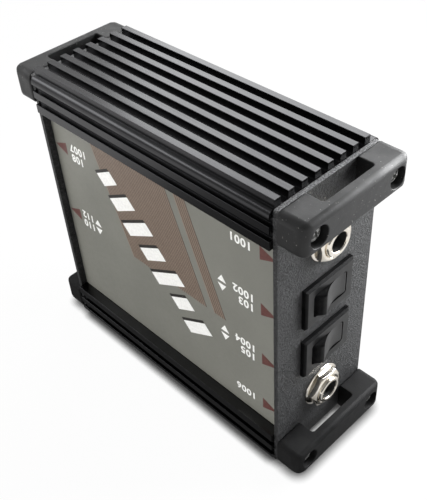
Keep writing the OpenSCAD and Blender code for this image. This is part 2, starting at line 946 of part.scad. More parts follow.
// Dished washer under the nut
module jack_washer(z) {
    inner = (bush_d + hole_play) / 2;
    outer = washer_d / 2;
    color("#d8d6cf")
        translate([plate_out, 0, z])
            out_x()
                rotate_extrude()
                    polygon([
                        [inner, 0], [outer, 0], [outer, washer_t / 3],
                        [outer - washer_t, washer_t], [inner, washer_t]
                    ]);
}

module jack_nut(z, turn) {
    color("#e0ded8")
        translate([plate_out + washer_t, 0, z])
            rotate([turn, 0, 0])
                hex_nut(nut_af, nut_t, bush_d + hole_play);
}

module input_jack_frame() {
    jack_frame(input_z);
}

module input_jack_insulators() {
    jack_insulators(input_z);
}

module input_jack_tip_spring() {
    jack_tip_spring(input_z);
}

module input_jack_washer() {
    jack_washer(input_z);
}

module input_jack_nut() {
    jack_nut(input_z, input_nut_turn);
}

module thru_jack_frame() {
    jack_frame(thru_z);
}

module thru_jack_insulators() {
    jack_insulators(thru_z);
}

module thru_jack_tip_spring() {
    jack_tip_spring(thru_z);
}

module thru_jack_washer() {
    jack_washer(thru_z);
}

module thru_jack_nut() {
    jack_nut(thru_z, thru_nut_turn);
}

// Rocker switches, made round the pivot with X pointing out of the panel

// Moulded housing: bevelled bezel, snap wings, swing hollow, pivot sockets and terminal slots
module switch_housing(z, turn) {
    wing_x = -pivot_in - plate_t - hole_play / 3;
    wing_root = body_l / 2 - body_wall / 2;
    socket_l = opening_w + 2 * pivot_reach + pivot_play;
    color("#3f4042")
        at_switch(z, turn)
            difference() {
                union() {
                    translate([-pivot_in, 0, 0])
                        intersection() {
                            linear_extrude(height = bezel_w, center = true)
                                bezel_outline(bezel_l);
                            along_y(bezel_l)
                                bezel_outline(bezel_w);
                        }
                    translate([back_u, -body_l / 2, -body_w / 2])
                        cube([body_depth, body_l, body_w]);
                    for (s = [0, 1])
                        mirror([0, s, 0])
                            linear_extrude(height = body_w / 2, center = true)
                                polygon([
                                    [wing_x, wing_root], [wing_x, body_l / 2 + wing_out],
                                    [wing_x - wing_l, body_l / 2], [wing_x - wing_l, wing_root]
                                ]);
                }
                intersection() {
                    translate([floor_u, -cavity_half, -opening_w / 2])
                        cube([pivot_depth - floor_u + past, 2 * cavity_half, opening_w]);
                    union() {
                        drum(swing_r, opening_w, opening_round);
                        translate([floor_u - past, -cavity_half - past, -opening_w])
                            cube([past - floor_u, 2 * (cavity_half + past), 2 * opening_w]);
                    }
                }
                cylinder(r = pivot_r + pivot_play, h = socket_l, center = true);
                for (v = [-blade_pitch, 0, blade_pitch])
                    translate([back_u - past, v - blade_t / 2 - slot_play, -blade_w / 2 - slot_play])
                        cube([floor_t + 2 * past, blade_t + 2 * slot_play, blade_w + 2 * slot_play]);
            }
}

// Drum round the pivot with rounded rims, that a rocker's ends and their hollow are cut from
module drum(r, w, rim) {
    rotate_extrude()
        intersection() {
            round_rect(2 * r, w, rim);
            translate([0, -w])
                square([r + past, 2 * w]);
        }
}

// Section of a bezel that is bevelled at its front edges, from the plate outward
module bezel_outline(width) {
    half = width / 2;
    polygon([
        [0, -half], [bezel_t - bezel_bevel, -half], [bezel_t, bezel_bevel - half],
        [bezel_t, half - bezel_bevel], [bezel_t - bezel_bevel, half], [0, half]
    ]);
}

// Rocker with its hollow face, swinging ends, hub, pivots and plunger bore, tilted to its near stop
module switch_rocker(z, turn) {
    color("#505154")
        at_switch(z, turn)
            rotate([0, 0, rocker_tilt])
                difference() {
                    union() {
                        intersection() {
                            linear_extrude(height = rocker_w + 2 * past, center = true)
                                rocker_outline();
                            drum(rocker_r, rocker_w, opening_round - rocker_gap);
                        }
                        cylinder(r = pivot_r, h = opening_w + 2 * pivot_reach, center = true);
                    }
                    translate([-hub_r - past, 0, 0])
                        out_x()
                            cylinder(r = bore_r, h = hub_r + past + spring_top);
                }
}

module rocker_outline() {
    limit = cavity_half - rocker_gap;
    difference() {
        union() {
            intersection() {
                circle(r = rocker_r + past);
                intersection_for (s = [-1, 1])
                    rotate(s * rocker_tilt)
                        square([3 * rocker_r, 2 * limit], center = true);
                translate([skirt_low, -2 * rocker_r])
                    square([2 * rocker_r, 4 * rocker_r]);
            }
            circle(r = hub_r);
            translate([0, -hub_r])
                square([skirt_low + past / 2, 2 * hub_r]);
        }
        translate([face_u, 0])
            circle(r = face_r);
    }
}

// Plunger that the rocker's spring presses onto the contact
module switch_plunger(z, turn) {
    color("#e6e2d6")
        at_switch(z, turn)
            rotate([0, 0, rocker_tilt])
                out_x()
                    rotate_extrude()
                        union() {
                            translate([0, plunger_r - plunger_tip])
                                square([plunger_r, plunger_tip - plunger_r - plunger_top]);
                            intersection() {
                                translate([0, plunger_r - plunger_tip])
                                    circle(r = plunger_r);
                                translate([0, -plunger_tip])
                                    square([plunger_r, plunger_r]);
                            }
                        }
}

// Coil spring between the plunger and the end of its bore
module switch_spring(z, turn) {
    low = -plunger_top + spring_wire / 2 + slot_play;
    rise = spring_top - spring_wire / 2 - slot_play - low;
    steps = spring_turns * turn_steps;
    path = [for (i = [0 : steps])
        let (a = 360 * i / turn_steps)
        [low + rise * i / steps, spring_r * cos(a), spring_r * sin(a)]];
    color("#c9c7c0")
        at_switch(z, turn)
            rotate([0, 0, rocker_tilt])
                tube(path, spring_wire, [0, 0, 1], [0, 0, 1]);
}

// Rocking contact with a bead under its middle and a button at each end, tilted toward the plunger
module switch_contact(z, turn) {
    color("#c79a4b")
        at_switch(z, turn)
            translate([contact_u, 0, 0])
                rotate([0, 0, -contact_tilt]) {
                    translate([0, -contact_reach, -contact_w / 2])
                        cube([contact_t, 2 * contact_reach, contact_w]);
                    cylinder(r = bead_r, h = contact_w, center = true);
                    for (v = [-button_v, button_v])
                        translate([-button_t, v, 0])
                            out_x()
                                cylinder(r = button_r, h = button_t + contact_t / 2);
                }
}

// Middle blade under the contact's bead, and two outer blades with a foot on the housing's floor
module switch_terminals(z, turn) {
    end_u = back_u - blade_out;
    hole_u = end_u + blade_w / 2;
    color("#c9a65c")
        at_switch(z, turn)
            difference() {
                union() {
                    translate([end_u, -blade_t / 2, -blade_w / 2])
                        cube([contact_u - bead_r - contact_gap - end_u, blade_t, blade_w]);
                    for (s = [0, 1])
                        mirror([0, s, 0]) {
                            translate([end_u, blade_pitch - blade_t / 2, -blade_w / 2])
                                cube([floor_u + foot_t - end_u, blade_t, blade_w]);
                            translate([floor_u, button_v - button_r, -blade_w / 2])
                                cube([foot_t, blade_pitch - button_v + button_r, blade_w]);
                        }
                }
                translate([hole_u, 0, 0])
                    rotate([90, 0, 0])
                        cylinder(d = blade_w / 3, h = 4 * blade_pitch, center = true);
            }
}

module filter_switch_housing() {
    switch_housing(filter_z, near_end);
}

module filter_switch_rocker() {
    switch_rocker(filter_z, near_end);
}

module filter_switch_plunger() {
    switch_plunger(filter_z, near_end);
}

module filter_switch_spring() {
    switch_spring(filter_z, near_end);
}

module filter_switch_contact() {
    switch_contact(filter_z, near_end);
}

module filter_switch_terminals() {
    switch_terminals(filter_z, near_end);
}

module pad_switch_housing() {
    switch_housing(pad_z, near_end);
}

module pad_switch_rocker() {
    switch_rocker(pad_z, near_end);
}

module pad_switch_plunger() {
    switch_plunger(pad_z, near_end);
}

module pad_switch_spring() {
    switch_spring(pad_z, near_end);
}

module pad_switch_contact() {
    switch_contact(pad_z, near_end);
}

module pad_switch_terminals() {
    switch_terminals(pad_z, near_end);
}

module lift_switch_housing() {
    switch_housing(lift_z, far_end);
}

module lift_switch_rocker() {
    switch_rocker(lift_z, far_end);
}

module lift_switch_plunger() {
    switch_plunger(lift_z, far_end);
}

module lift_switch_spring() {
    switch_spring(lift_z, far_end);
}

module lift_switch_contact() {
    switch_contact(lift_z, far_end);
}

module lift_switch_terminals() {
    switch_terminals(lift_z, far_end);
}

// Output connector, made from the plate's outer face with X pointing out

// Flange and cup in one casting, with a ledge behind the insert and a keyway
module xlr_shell() {
    color("#2d2e30")
        at_xlr()
            difference() {
                union() {
                    translate([flange_t / 2, 0, 0])
                        along_x(flange_t)
                            round_rect(flange_w, flange_h, flange_r);
                    translate([-cup_depth, 0, 0])
                        out_x()
                            cylinder(d = cup_d, h = cup_depth + flange_t / 2);
                }
                translate([ledge_t - cup_depth, 0, 0])
                    out_x()
                        cylinder(d = cup_bore, h = cup_depth + flange_t + past);
                translate([-cup_depth - past, 0, 0])
                    out_x()
                        cylinder(d = ledge_d, h = cup_depth);
                translate([ledge_t + insert_t - cup_depth, -key_w / 2, 0])
                    cube([cup_depth + flange_t, key_w, cup_bore / 2 + key_depth]);
                for (s = [-1, 1])
                    translate([-past, s * flange_screw_y / 2, s * flange_screw_z / 2])
                        out_x()
                            cylinder(d = small_d + hole_play, h = flange_t + 2 * past);
            }
}

// Angle of each pin round the connector's axis
function pin_turn(i) = 120 * i - 90;

// Puts something at each pin
module at_pins() {
    for (i = [0 : 2])
        translate([0, cos(pin_turn(i)) * pin_circle / 2, sin(pin_turn(i)) * pin_circle / 2])
            children();
}

module xlr_insert() {
    color("#1c1c1c")
        at_xlr()
            difference() {
                translate([ledge_t - cup_depth, 0, 0])
                    out_x()
                        cylinder(d = cup_bore - 2 * insert_play, h = insert_t);
                at_pins()
                    translate([-cup_depth, 0, 0])
                        out_x()
                            cylinder(d = pin_d + 2 * insert_play, h = cup_depth);
            }
}

// Contact pins with a tapered tip and a thinner solder tail
module xlr_pins() {
    taper = pin_d / 2;
    body = cup_depth - ledge_t - pin_back - taper;
    color("#d9c27a")
        at_xlr()
            at_pins()
                translate([ledge_t - cup_depth, 0, 0])
                    out_x() {
                        cylinder(d = pin_d, h = body);
                        translate([0, 0, body])
                            cylinder(d1 = pin_d, d2 = pin_d / 2, h = taper);
                        translate([0, 0, -ledge_t - pin_tail])
                            cylinder(d = tail_d, h = ledge_t + pin_tail);
                    }
}

module xlr_screws() {
    shank_l = flange_t + plate_t + small_nut_t + small_past;
    color("#3a3a3a")
        at_xlr()
            for (s = [-1, 1])
                translate([flange_t, s * flange_screw_y / 2, s * flange_screw_z / 2])
                    pan_screw(small_head_d, small_head_h, small_d, shank_l);
}

module xlr_nuts() {
    color("#bdbbb4")
        at_xlr()
            for (s = [-1, 1])
                translate([-plate_t, s * flange_screw_y / 2, s * flange_screw_z / 2])
                    mirror([1, 0, 0])
                        hex_nut(small_nut_af, small_nut_t, small_d + hole_play);
}

// Board and transformer

module circuit_board() {
    color("#2f5d3a")
        difference() {
            translate([0, board_y + board_t / 2, mid_z])
                cube([board_l, board_t, board_h], center = true);
            at_clamp_screws()
                cylinder(d = small_d + hole_play, h = 4 * board_t, center = true);
        }
}

// Puts something at each screw of the clamp, on the board's front face, with Z pointing to the front
module at_clamp_screws() {
    for (s = [-1, 1])
        translate([core_x + s * foot_x, board_y, mid_z])
            rotate([90, 0, 0])
                children();
}

// Stack of laminations with a middle leg and two windows
module transformer_core() {
    color("#5b5d60")
        translate([core_x, core_y, mid_z])
            linear_extrude(height = core_stack, center = true)
                difference() {
                    square([core_w, core_h], center = true);
                    for (s = [-1, 1])
                        translate([s * (core_mid + core_leg) / 2, 0])
                            square([core_leg, core_window], center = true);
                }
}

// Rectangle about the core's axis, by its half sizes, extruded over a height that is centred on the core
module round_leg(half_x, half_z, height) {
    translate([core_x, core_y, mid_z])
        cube([2 * half_x, height, 2 * half_z], center = true);
}

module transformer_bobbin() {
    flange = winding_t + bobbin_play;
    color("#d8cfae")
        difference() {
            union() {
                round_leg(tube_x, tube_z, bobbin_h);
                for (s = [-1, 1])
                    translate([0, s * (bobbin_h - bobbin_wall) / 2, 0])
                        round_leg(tube_x + flange, tube_z + flange, bobbin_wall);
            }
            round_leg(tube_x - bobbin_wall, tube_z - bobbin_wall, bobbin_h + past);
        }
}

module transformer_winding() {
    color("#b5552b")
        difference() {
            round_leg(tube_x + winding_t, tube_z + winding_t, spool_h);
            round_leg(tube_x, tube_z, spool_h + past);
        }
}

// Lead pins from the bobbin's lower flange to the board
module transformer_pins() {
    pin_l = core_leg + bobbin_play;
    color("#c8c6bf")
        for (x = [-1, 0, 1], z = [-1, 1])
            translate([core_x + x * tube_x, board_y, mid_z + z * (tube_z + winding_t / 2)])
                rotate([90, 0, 0])
                    cylinder(d = lead_d, h = pin_l);
}

// Sheet clamp over the core with a foot on each side
module transformer_clamp() {
    half = core_w / 2;
    color("#a9aaab")
        difference() {
            translate([core_x, board_y, mid_z])
                linear_extrude(height = core_stack, center = true)
                    polygon([
                        [-half - clamp_t - clamp_foot, 0], [-half, 0], [-half, -core_h], [half, -core_h],
                        [half, 0], [half + clamp_t + clamp_foot, 0], [half + clamp_t + clamp_foot, -clamp_t],
                        [half + clamp_t, -clamp_t], [half + clamp_t, -core_h - clamp_t],
                        [-half - clamp_t, -core_h - clamp_t], [-half - clamp_t, -clamp_t],
                        [-half - clamp_t - clamp_foot, -clamp_t]
                    ]);
            at_clamp_screws()
                cylinder(d = small_d + hole_play, h = 4 * clamp_t, center = true);
        }
}

module transformer_screws() {
    shank_l = clamp_t + board_t + small_nut_t + small_past;
    color("#b9b7b0")
        at_clamp_screws()
            translate([0, 0, clamp_t])
                rotate([0, -90, 0])
                    pan_screw(small_head_d, small_head_h, small_d, shank_l);
}

module transformer_nuts() {
    color("#bdbbb4")
        at_clamp_screws()
            translate([0, 0, -board_t])
                rotate([0, 90, 0])
                    hex_nut(small_nut_af, small_nut_t, small_d + hole_play);
}

module film_capacitors() {
    color("#9c2f2b")
        for (i = [0 : 2])
            translate([core_x - film_l / 2, board_y - film_h, film_z + i * film_pitch])
                cube([film_l, film_h, film_w]);
}

// Axial resistors with their leads bent down to the board
module resistors() {
    lead_r = lead_d / 2;
    reach = resistor_l / 2 + resistor_lead;
    color("#c9b48a")
        for (i = [0 : 3])
            translate([core_x, board_y - resistor_up, resistor_z - i * resistor_pitch]) {
                translate([-resistor_l / 2, 0, 0])
                    out_x()
                        cylinder(d = resistor_d, h = resistor_l);
                translate([-reach, 0, 0])
                    out_x()
                        cylinder(d = lead_d, h = 2 * reach);
                for (s = [-1, 1])
                    translate([s * (reach - lead_r), resistor_up, 0])
                        rotate([90, 0, 0])
                            cylinder(d = lead_d, h = resistor_up);
            }
}

// Leads from the board to the jacks, the switches and the output connector
module hookup_wires() {
    color("#b03a32") {
        for (z = [input_z, thru_z]) {
            wire([plate_in + lug_x - wire_inset, leaf_w / 2, z + leaf_low + leaf_t / 2], [0, tip_run, 0],
                 [board_l / 2 - pad_in, board_y, z + leaf_low], board_run);
            wire([plate_in - lug_l + wire_inset, lug_w / 2, z + lug_z + frame_t / 4], [0, lug_run, 0],
                 [board_l / 2 - pad_in, board_y, z + lug_z], board_run);
        }
        for (s = [[filter_z, 1], [pad_z, 1], [lift_z, -1]], i = [-1 : 1]) {
            blade_x = pivot_x + back_u - blade_out;
            wire([s[1] * blade_x, i * blade_pitch, s[0]], [-s[1] * blade_run, 0, 0],
                 [s[1] * (board_l / 2 - switch_pad_in), board_y, s[0] + i * pad_pitch], board_run);
        }
        for (i = [0 : 2]) {
            y = -cos(pin_turn(i)) * pin_circle / 2;
            z = sin(pin_turn(i)) * pin_circle / 2;
            pad_up = [-pin_circle / 2, pin_circle / 2 + wire_d, 0][i];
            wire([-plate_out + cup_depth + pin_tail, y, xlr_z + z], [pin_run, 0, 0],
                 [pad_in - board_l / 2, board_y, xlr_z + pad_up], board_run);
        }
    }
}

upper_rail();
lower_rail();
front_cover();
label_overlay();
rear_cover();
input_end_plate();
output_end_plate();
upper_input_bumper();
lower_input_bumper();
upper_output_bumper();
lower_output_bumper();
bumper_screws();
input_jack_frame();
input_jack_insulators();
input_jack_tip_spring();
input_jack_washer();
input_jack_nut();
thru_jack_frame();
thru_jack_insulators();
thru_jack_tip_spring();
thru_jack_washer();
thru_jack_nut();
jack_rivets();
filter_switch_housing();
filter_switch_rocker();
filter_switch_plunger();
filter_switch_spring();
filter_switch_contact();
filter_switch_terminals();
pad_switch_housing();
pad_switch_rocker();
pad_switch_plunger();
pad_switch_spring();
pad_switch_contact();
pad_switch_terminals();
lift_switch_housing();
lift_switch_rocker();
lift_switch_plunger();
lift_switch_spring();
lift_switch_contact();
lift_switch_terminals();
xlr_shell();
xlr_insert();
xlr_pins();
xlr_screws();
xlr_nuts();
circuit_board();
transformer_core();
transformer_bobbin();
transformer_winding();
transformer_pins();
transformer_clamp();
transformer_screws();
transformer_nuts();
film_capacitors();
resistors();
hookup_wires();
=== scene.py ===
import math

import bmesh
import bpy
from mathutils import Matrix, Vector


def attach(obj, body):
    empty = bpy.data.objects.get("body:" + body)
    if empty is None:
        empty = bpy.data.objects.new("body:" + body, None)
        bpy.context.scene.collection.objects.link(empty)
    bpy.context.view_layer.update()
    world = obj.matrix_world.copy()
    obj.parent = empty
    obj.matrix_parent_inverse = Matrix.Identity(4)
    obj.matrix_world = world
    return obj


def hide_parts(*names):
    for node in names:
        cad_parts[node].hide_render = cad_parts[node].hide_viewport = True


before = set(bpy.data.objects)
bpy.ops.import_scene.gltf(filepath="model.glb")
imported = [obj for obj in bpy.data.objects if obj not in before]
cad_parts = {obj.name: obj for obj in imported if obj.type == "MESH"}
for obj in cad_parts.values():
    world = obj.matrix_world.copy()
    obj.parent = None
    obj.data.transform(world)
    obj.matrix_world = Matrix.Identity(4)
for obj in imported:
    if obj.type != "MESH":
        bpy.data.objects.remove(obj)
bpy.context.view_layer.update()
scene = bpy.context.scene
scene.view_settings.view_transform = "Standard"


# Camera, where the photographer stood: in front of the corner between the printed face and the input panel,
# looking down at the box, with the lens and the slight roll that its straight edges give.
def object_of(name, data):
    """Object at the origin that holds a mesh, a lamp or a camera."""
    made = bpy.data.objects.new(name, data)
    scene.collection.objects.link(made)
    return made


camera_data = bpy.data.cameras.new("camera")
camera_data.lens = 56.42
camera_data.sensor_width = 36
camera_data.clip_start = 0.01
camera = object_of("camera", camera_data)
camera_right = Vector((0.6997, 0.7122, -0.0562))
camera_up = Vector((-0.4442, 0.4954, 0.7465))
turned = Matrix((camera_right, camera_up, camera_right.cross(camera_up))).transposed().to_4x4()
camera_place = Vector((0.1533, -0.1318, 0.2295))
camera.matrix_world = Matrix.Translation(camera_place) @ turned
scene.camera = camera

# Studio: a soft box behind the box, which gives the fins their sheen, a small one on the panel's side, a low
# one in front of the print that is kept out of reflections, and a weak one on the left. The room is white where
# it is seen; in reflections it is white behind and dim in front and above.
BOX_MIDDLE = Vector((0, 0, 0.055))
COOL, CLEAR, WARM = (0.98, 0.99, 1.0), (0.985, 0.995, 1.0), (1.0, 0.99, 0.97)


def soft_box(name, azimuth, height, distance, size, watts, colour, mirrored=True):
    """Lamp aimed at the middle of the box, from an azimuth and a height in degrees."""
    lamp = bpy.data.lights.new(name, "AREA")
    lamp.shape = "RECTANGLE"
    lamp.size, lamp.size_y = size
    lamp.energy = watts
    lamp.color = colour
    lamp_object = object_of(name, lamp)
    lamp_object.visible_glossy = mirrored
    azimuth, height = math.radians(azimuth), math.radians(height)
    away = Vector((math.cos(azimuth) * math.cos(height), math.sin(azimuth) * math.cos(height), math.sin(height)))
    aim = away.to_track_quat("Z", "Y").to_matrix().to_4x4()
    lamp_object.matrix_world = Matrix.Translation(BOX_MIDDLE + away * distance) @ aim


soft_box("back_soft_box", 117.5, 34, 0.6, (0.54, 0.3), 2.1, CLEAR)
soft_box("side_soft_box", 60, 24, 0.24, (0.18, 0.18), 1.65, COOL)
soft_box("front_soft_box", 243, 4, 0.85, (0.7, 0.2), 5.0, WARM, mirrored=False)
soft_box("left_soft_box", 206, 38, 0.8, (0.5, 0.25), 1.2, COOL)


def math_node(tree, operation, *values):
    """One step of arithmetic on numbers or on other nodes' outputs."""
    step = tree.nodes.new("ShaderNodeMath")
    step.operation = operation
    for socket, value in zip(step.inputs, values):
        if isinstance(value, (int, float)):
            socket.default_value = value
        else:
            tree.links.new(value, socket)
    return step.outputs[0]


def vector_number(tree, operation, value, *by):
    """A number from a vector: its length, or its share along another one."""
    step = tree.nodes.new("ShaderNodeVectorMath")
    step.operation = operation
    tree.links.new(value, step.inputs[0])
    for other in by:
        step.inputs[1].default_value = other
    return step.outputs["Value"]


def preset(node, values):
    """Sets a node's inputs by name."""
    for key, value in values.items():
        node.inputs[key].default_value = value


def ranged(tree, value, start, end, low, high, soft=False):
    """Maps a value onto a range, with a soft run into both ends if asked."""
    mapped = tree.nodes.new("ShaderNodeMapRange")
    if soft:
        mapped.interpolation_type = "SMOOTHSTEP"
    preset(mapped, {"From Min": start, "From Max": end, "To Min": low, "To Max": high})
    tree.links.new(value, mapped.inputs["Value"])
    return mapped.outputs[0]


def coordinate(tree, kind, axis):
    """One axis of a direction, of a place on a piece or of the way that its surface faces."""
    parts = tree.nodes.new("ShaderNodeSeparateXYZ")
    tree.links.new(tree.nodes.new("ShaderNodeTexCoord").outputs[kind], parts.inputs[0])
    return parts.outputs[axis]


def rays(tree):
    """Whether a ray is seen, straight or through something, and whether it is a reflection."""
    path = tree.nodes.new("ShaderNodeLightPath").outputs
    return math_node(tree, "MAXIMUM", path["Is Camera Ray"], path["Is Transmission Ray"]), path["Is Glossy Ray"]


TOWARD_FRONT, FILL_LEVEL = (0.6, -0.8, 0.1), 0.22
room = bpy.data.worlds.new("room")
room.use_nodes = True
tree = room.node_tree
seen, glossy = rays(tree)
direction = tree.nodes.new("ShaderNodeTexCoord").outputs["Generated"]
front = ranged(tree, vector_number(tree, "DOT_PRODUCT", direction, TOWARD_FRONT), -0.1, 0.5, 1.0, 0.1)
ceiling = ranged(tree, coordinate(tree, "Generated", "Z"), 0.62, 0.8, 1.0, 0.25)
mirrored = math_node(tree, "MULTIPLY", glossy, math_node(tree, "MULTIPLY", front, ceiling))
level = math_node(tree, "MAXIMUM", math_node(tree, "MAXIMUM", seen, mirrored), FILL_LEVEL)
tree.nodes["Background"].inputs["Color"].default_value = (1, 1, 1, 1)
tree.links.new(level, tree.nodes["Background"].inputs["Strength"])
scene.world = room


# Table: a wide matt white top. It is white where it is seen, down to the shadow close round the box. In
# reflections it is bright on the right, where the side soft box falls on it, and far off, and dark on the
# printed side, in the box's shadow.
def finish(name, colour, rough, metal=0.0, gloss=0.5):
    """Plain material, to be worked on by what follows."""
    made = bpy.data.materials.new(name)
    made.use_nodes = True
    preset(made.node_tree.nodes["Principled BSDF"], {
        "Base Color": (*colour, 1), "Roughness": rough, "Metallic": metal, "Specular IOR Level": gloss})
    return made


TABLE_HALF, SHADOW_REACH, TOWARD_SIDE, GLOW_SHARE = 3.0, 0.0042, (0.77, 0.64, 0), 0.97
table_mesh = bpy.data.meshes.new("table")
table_mesh.from_pydata([(x * TABLE_HALF, y * TABLE_HALF, 0) for x, y in ((-1, -1), (1, -1), (1, 1), (-1, 1))],
                       [], [(0, 1, 2, 3)])
table = object_of("table", table_mesh)
table_white = finish("table_white", (0.9, 0.9, 0.9), 0.9, gloss=0.1)
tree = table_white.node_tree
seen, glossy = rays(tree)
close = tree.nodes.new("ShaderNodeAmbientOcclusion")
close.samples = 12
close.inputs["Distance"].default_value = SHADOW_REACH
shade = ranged(tree, close.outputs["AO"], 0.45, 0.92, 0.06, 1.0)
place = tree.nodes.new("ShaderNodeNewGeometry").outputs["Position"]
pool = ranged(tree, vector_number(tree, "DOT_PRODUCT", place, TOWARD_SIDE), 0.02, 0.11, 0.1, 0.9, soft=True)
far = ranged(tree, vector_number(tree, "LENGTH", place), 0.12, 0.17, 0.1, 1.0, soft=True)
mirrored = math_node(tree, "MULTIPLY", glossy, math_node(tree, "MAXIMUM", pool, far))
level = math_node(tree, "ADD", math_node(tree, "MULTIPLY", seen, shade), mirrored)
white = tree.nodes.new("ShaderNodeEmission")
tree.links.new(level, white.inputs["Strength"])
share = math_node(tree, "MULTIPLY", math_node(tree, "MAXIMUM", seen, glossy), GLOW_SHARE)
blend = tree.nodes.new("ShaderNodeMixShader")
tree.links.new(share, blend.inputs["Fac"])
tree.links.new(tree.nodes["Principled BSDF"].outputs["BSDF"], blend.inputs[1])
tree.links.new(white.outputs["Emission"], blend.inputs[2])
tree.links.new(blend.outputs["Shader"], tree.nodes["Material Output"].inputs["Surface"])
table_mesh.materials.append(table_white)

# Side rails: aluminium extrusions with eight fins, ribbed sides, slots for the covers and ports for the screws,
# sawn to length and anodised black. The outline is drawn once, rounded at its corners and pushed along the box.
MM = 0.001


def lead(made, value, key):
    """Leads a pattern to one of the shader's inputs, and says what led there before."""
    socket = made.node_tree.nodes["Principled BSDF"].inputs[key]
    before = [old.from_socket for old in socket.links]
    made.node_tree.links.new(value, socket)
    return before


def grains(made, size, detail=3.0, stretch=(1, 1, 1), rough=0.55):
    """Noise with grains of about the given size in metres, on the piece's own coordinates."""
    tree = made.node_tree
    scale = tree.nodes.new("ShaderNodeMapping")
    scale.inputs["Scale"].default_value = [s / size for s in stretch]
    tree.links.new(tree.nodes.new("ShaderNodeTexCoord").outputs["Object"], scale.inputs["Vector"])
    noise = tree.nodes.new("ShaderNodeTexNoise")
    preset(noise, {"Scale": 1.0, "Detail": detail, "Roughness": rough})
    tree.links.new(scale.outputs[0], noise.inputs["Vector"])
    return noise.outputs["Fac"]


def spread(made, value, low, high, start=0.35, end=0.65):
    """Maps a pattern onto a range."""
    return ranged(made.node_tree, value, start, end, low, high)


def roughen(made, value, low, high):
    """Lets the roughness follow a pattern."""
    lead(made, spread(made, value, low, high), "Roughness")


def tint(made, value, dark, light, start=0.35, end=0.65):
    """Lets the colour follow a pattern between two tones."""
    ramp = made.node_tree.nodes.new("ShaderNodeValToRGB")
    for stop, position, colour in zip(ramp.color_ramp.elements, (start, end), (dark, light)):
        stop.position, stop.color = position, (*colour, 1)
    made.node_tree.links.new(value, ramp.inputs["Fac"])
    lead(made, ramp.outputs["Color"], "Base Color")
    return ramp.outputs["Color"]


def raise_by(made, value, depth, strength=1.0):
    """Raises the surface by a pattern of the given depth in metres, over what raises it already."""
    raised = made.node_tree.nodes.new("ShaderNodeBump")
    preset(raised, {"Strength": strength, "Distance": depth})
    made.node_tree.links.new(value, raised.inputs["Height"])
    for before in lead(made, raised.outputs["Normal"], "Normal"):
        made.node_tree.links.new(before, raised.inputs["Normal"])


def paint(mesh, made):
    mesh.materials.clear()
    mesh.materials.append(made)


def fit(piece, slot, *nodes, made=None, body="case"):
    """Puts a finished piece on its body, with its coat and the nodes that it stands for. Its slot is not used."""
    if made:
        paint(piece.data, made)
    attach(piece, body)
    if nodes:
        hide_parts(*nodes)


def smooth(piece, angle=30, flat=0.95):
    """Shades roundings smooth, and leaves faces wider than the given millimetres flat between them."""
    mesh = piece.data
    mesh.shade_smooth()
    mesh.set_sharp_from_angle(angle=math.radians(angle))
    for face in mesh.polygons:
        corners = [mesh.vertices[i].co for i in face.vertices]
        longest = max((a - b).length for a, b in zip(corners, corners[1:] + corners[:1]))
        if face.area / longest > flat * MM:
            face.use_smooth = False


def baked(piece):
    """Turns a piece with modifiers into a plain mesh."""
    evaluated = piece.evaluated_get(bpy.context.evaluated_depsgraph_get())
    plain = bpy.data.meshes.new_from_object(evaluated)
    piece.modifiers.clear()
    piece.data = plain
    return piece


def node_tree(name, **inputs):
    """Geometry tree with named inputs. Gives the tree, its first and last node, and what adds nodes and links."""
    tree = bpy.data.node_groups.new(name, "GeometryNodeTree")
    for way in ("INPUT", "OUTPUT"):
        tree.interface.new_socket("Geometry", in_out=way, socket_type="NodeSocketGeometry")
    for key, kind in inputs.items():
        tree.interface.new_socket(key, in_out="INPUT", socket_type="NodeSocket" + kind)
    add = tree.nodes.new
    return tree, add("NodeGroupInput"), add("NodeGroupOutput"), add, tree.links.new


def grown(name, mesh, tree, **values):
    """Runs a tree on a mesh and keeps the result as a plain piece."""
    piece = object_of(name, mesh)
    run = piece.modifiers.new(tree.name, "NODES")
    run.node_group = tree
    for socket in tree.interface.items_tree:
        if socket.name in values:
            run[socket.identifier] = values[socket.name]
    return baked(piece)


def read_mark(tree, name, kind):
    """What an attribute of the mesh says at each point."""
    mark = tree.nodes.new("GeometryNodeInputNamedAttribute")
    mark.data_type = kind
    mark.inputs["Name"].default_value = name
    return mark.outputs["Attribute"]


def in_line(tree, *nodes):
    """Leads the shape from each node to the next one."""
    for one, following in zip(nodes, nodes[1:]):
        tree.links.new(one.outputs[0], following.inputs[0])


def close_tree(tree, start, shape, end):
    """Ends a tree: makes its instances real and gives them their finish."""
    real = tree.nodes.new("GeometryNodeRealizeInstances")
    coat = tree.nodes.new("GeometryNodeSetMaterial")
    tree.links.new(start.outputs["Finish"], coat.inputs["Material"])
    in_line(tree, shape, real, coat, end)


PLATE_H, PLATE_T, RAIL_L, END_GAP = 106.0, 1.5, 103.0, 0.12
FIN_COUNT, FIN_PITCH, FIN_HALF, FIN_H, FIN_SHIFT = 8, 5.15, 1.15, 2.5, -1.0
PLATE_TOP = FIN_H + PLATE_H
PLATE_IN = RAIL_L / 2
PLATE_OUT = PLATE_IN + PLATE_T
# Widths from the middle and heights over the plate's edge
RIB_Y, GROOVE_Y, WALL_Y, GROOVE_TOPS, GROOVE_H = 22.3, 20.7, 18.7, (-2.5, -7.4), 2.4
RAIL_LOW, SLOT_NEAR, SLOT_FAR, SLOT_TOP, LIP_Y, LIP_TOP = -12.9, 18.3, 16.6, -10.4, 15.2, -9.0
ROOF, GUIDES, GUIDE_LOW = -2.0, ((12.1, 10.7), (8.9, 7.5)), -5.0
SCREW_Y, SCREW_DROP, PORT_R, PORT_BORE_R = 16.1, 5.4, 3.0, 1.45
CORNER_R, EDGE_R, FOOT_R, INNER_R = 1.8, 0.12, 0.08, 0.1


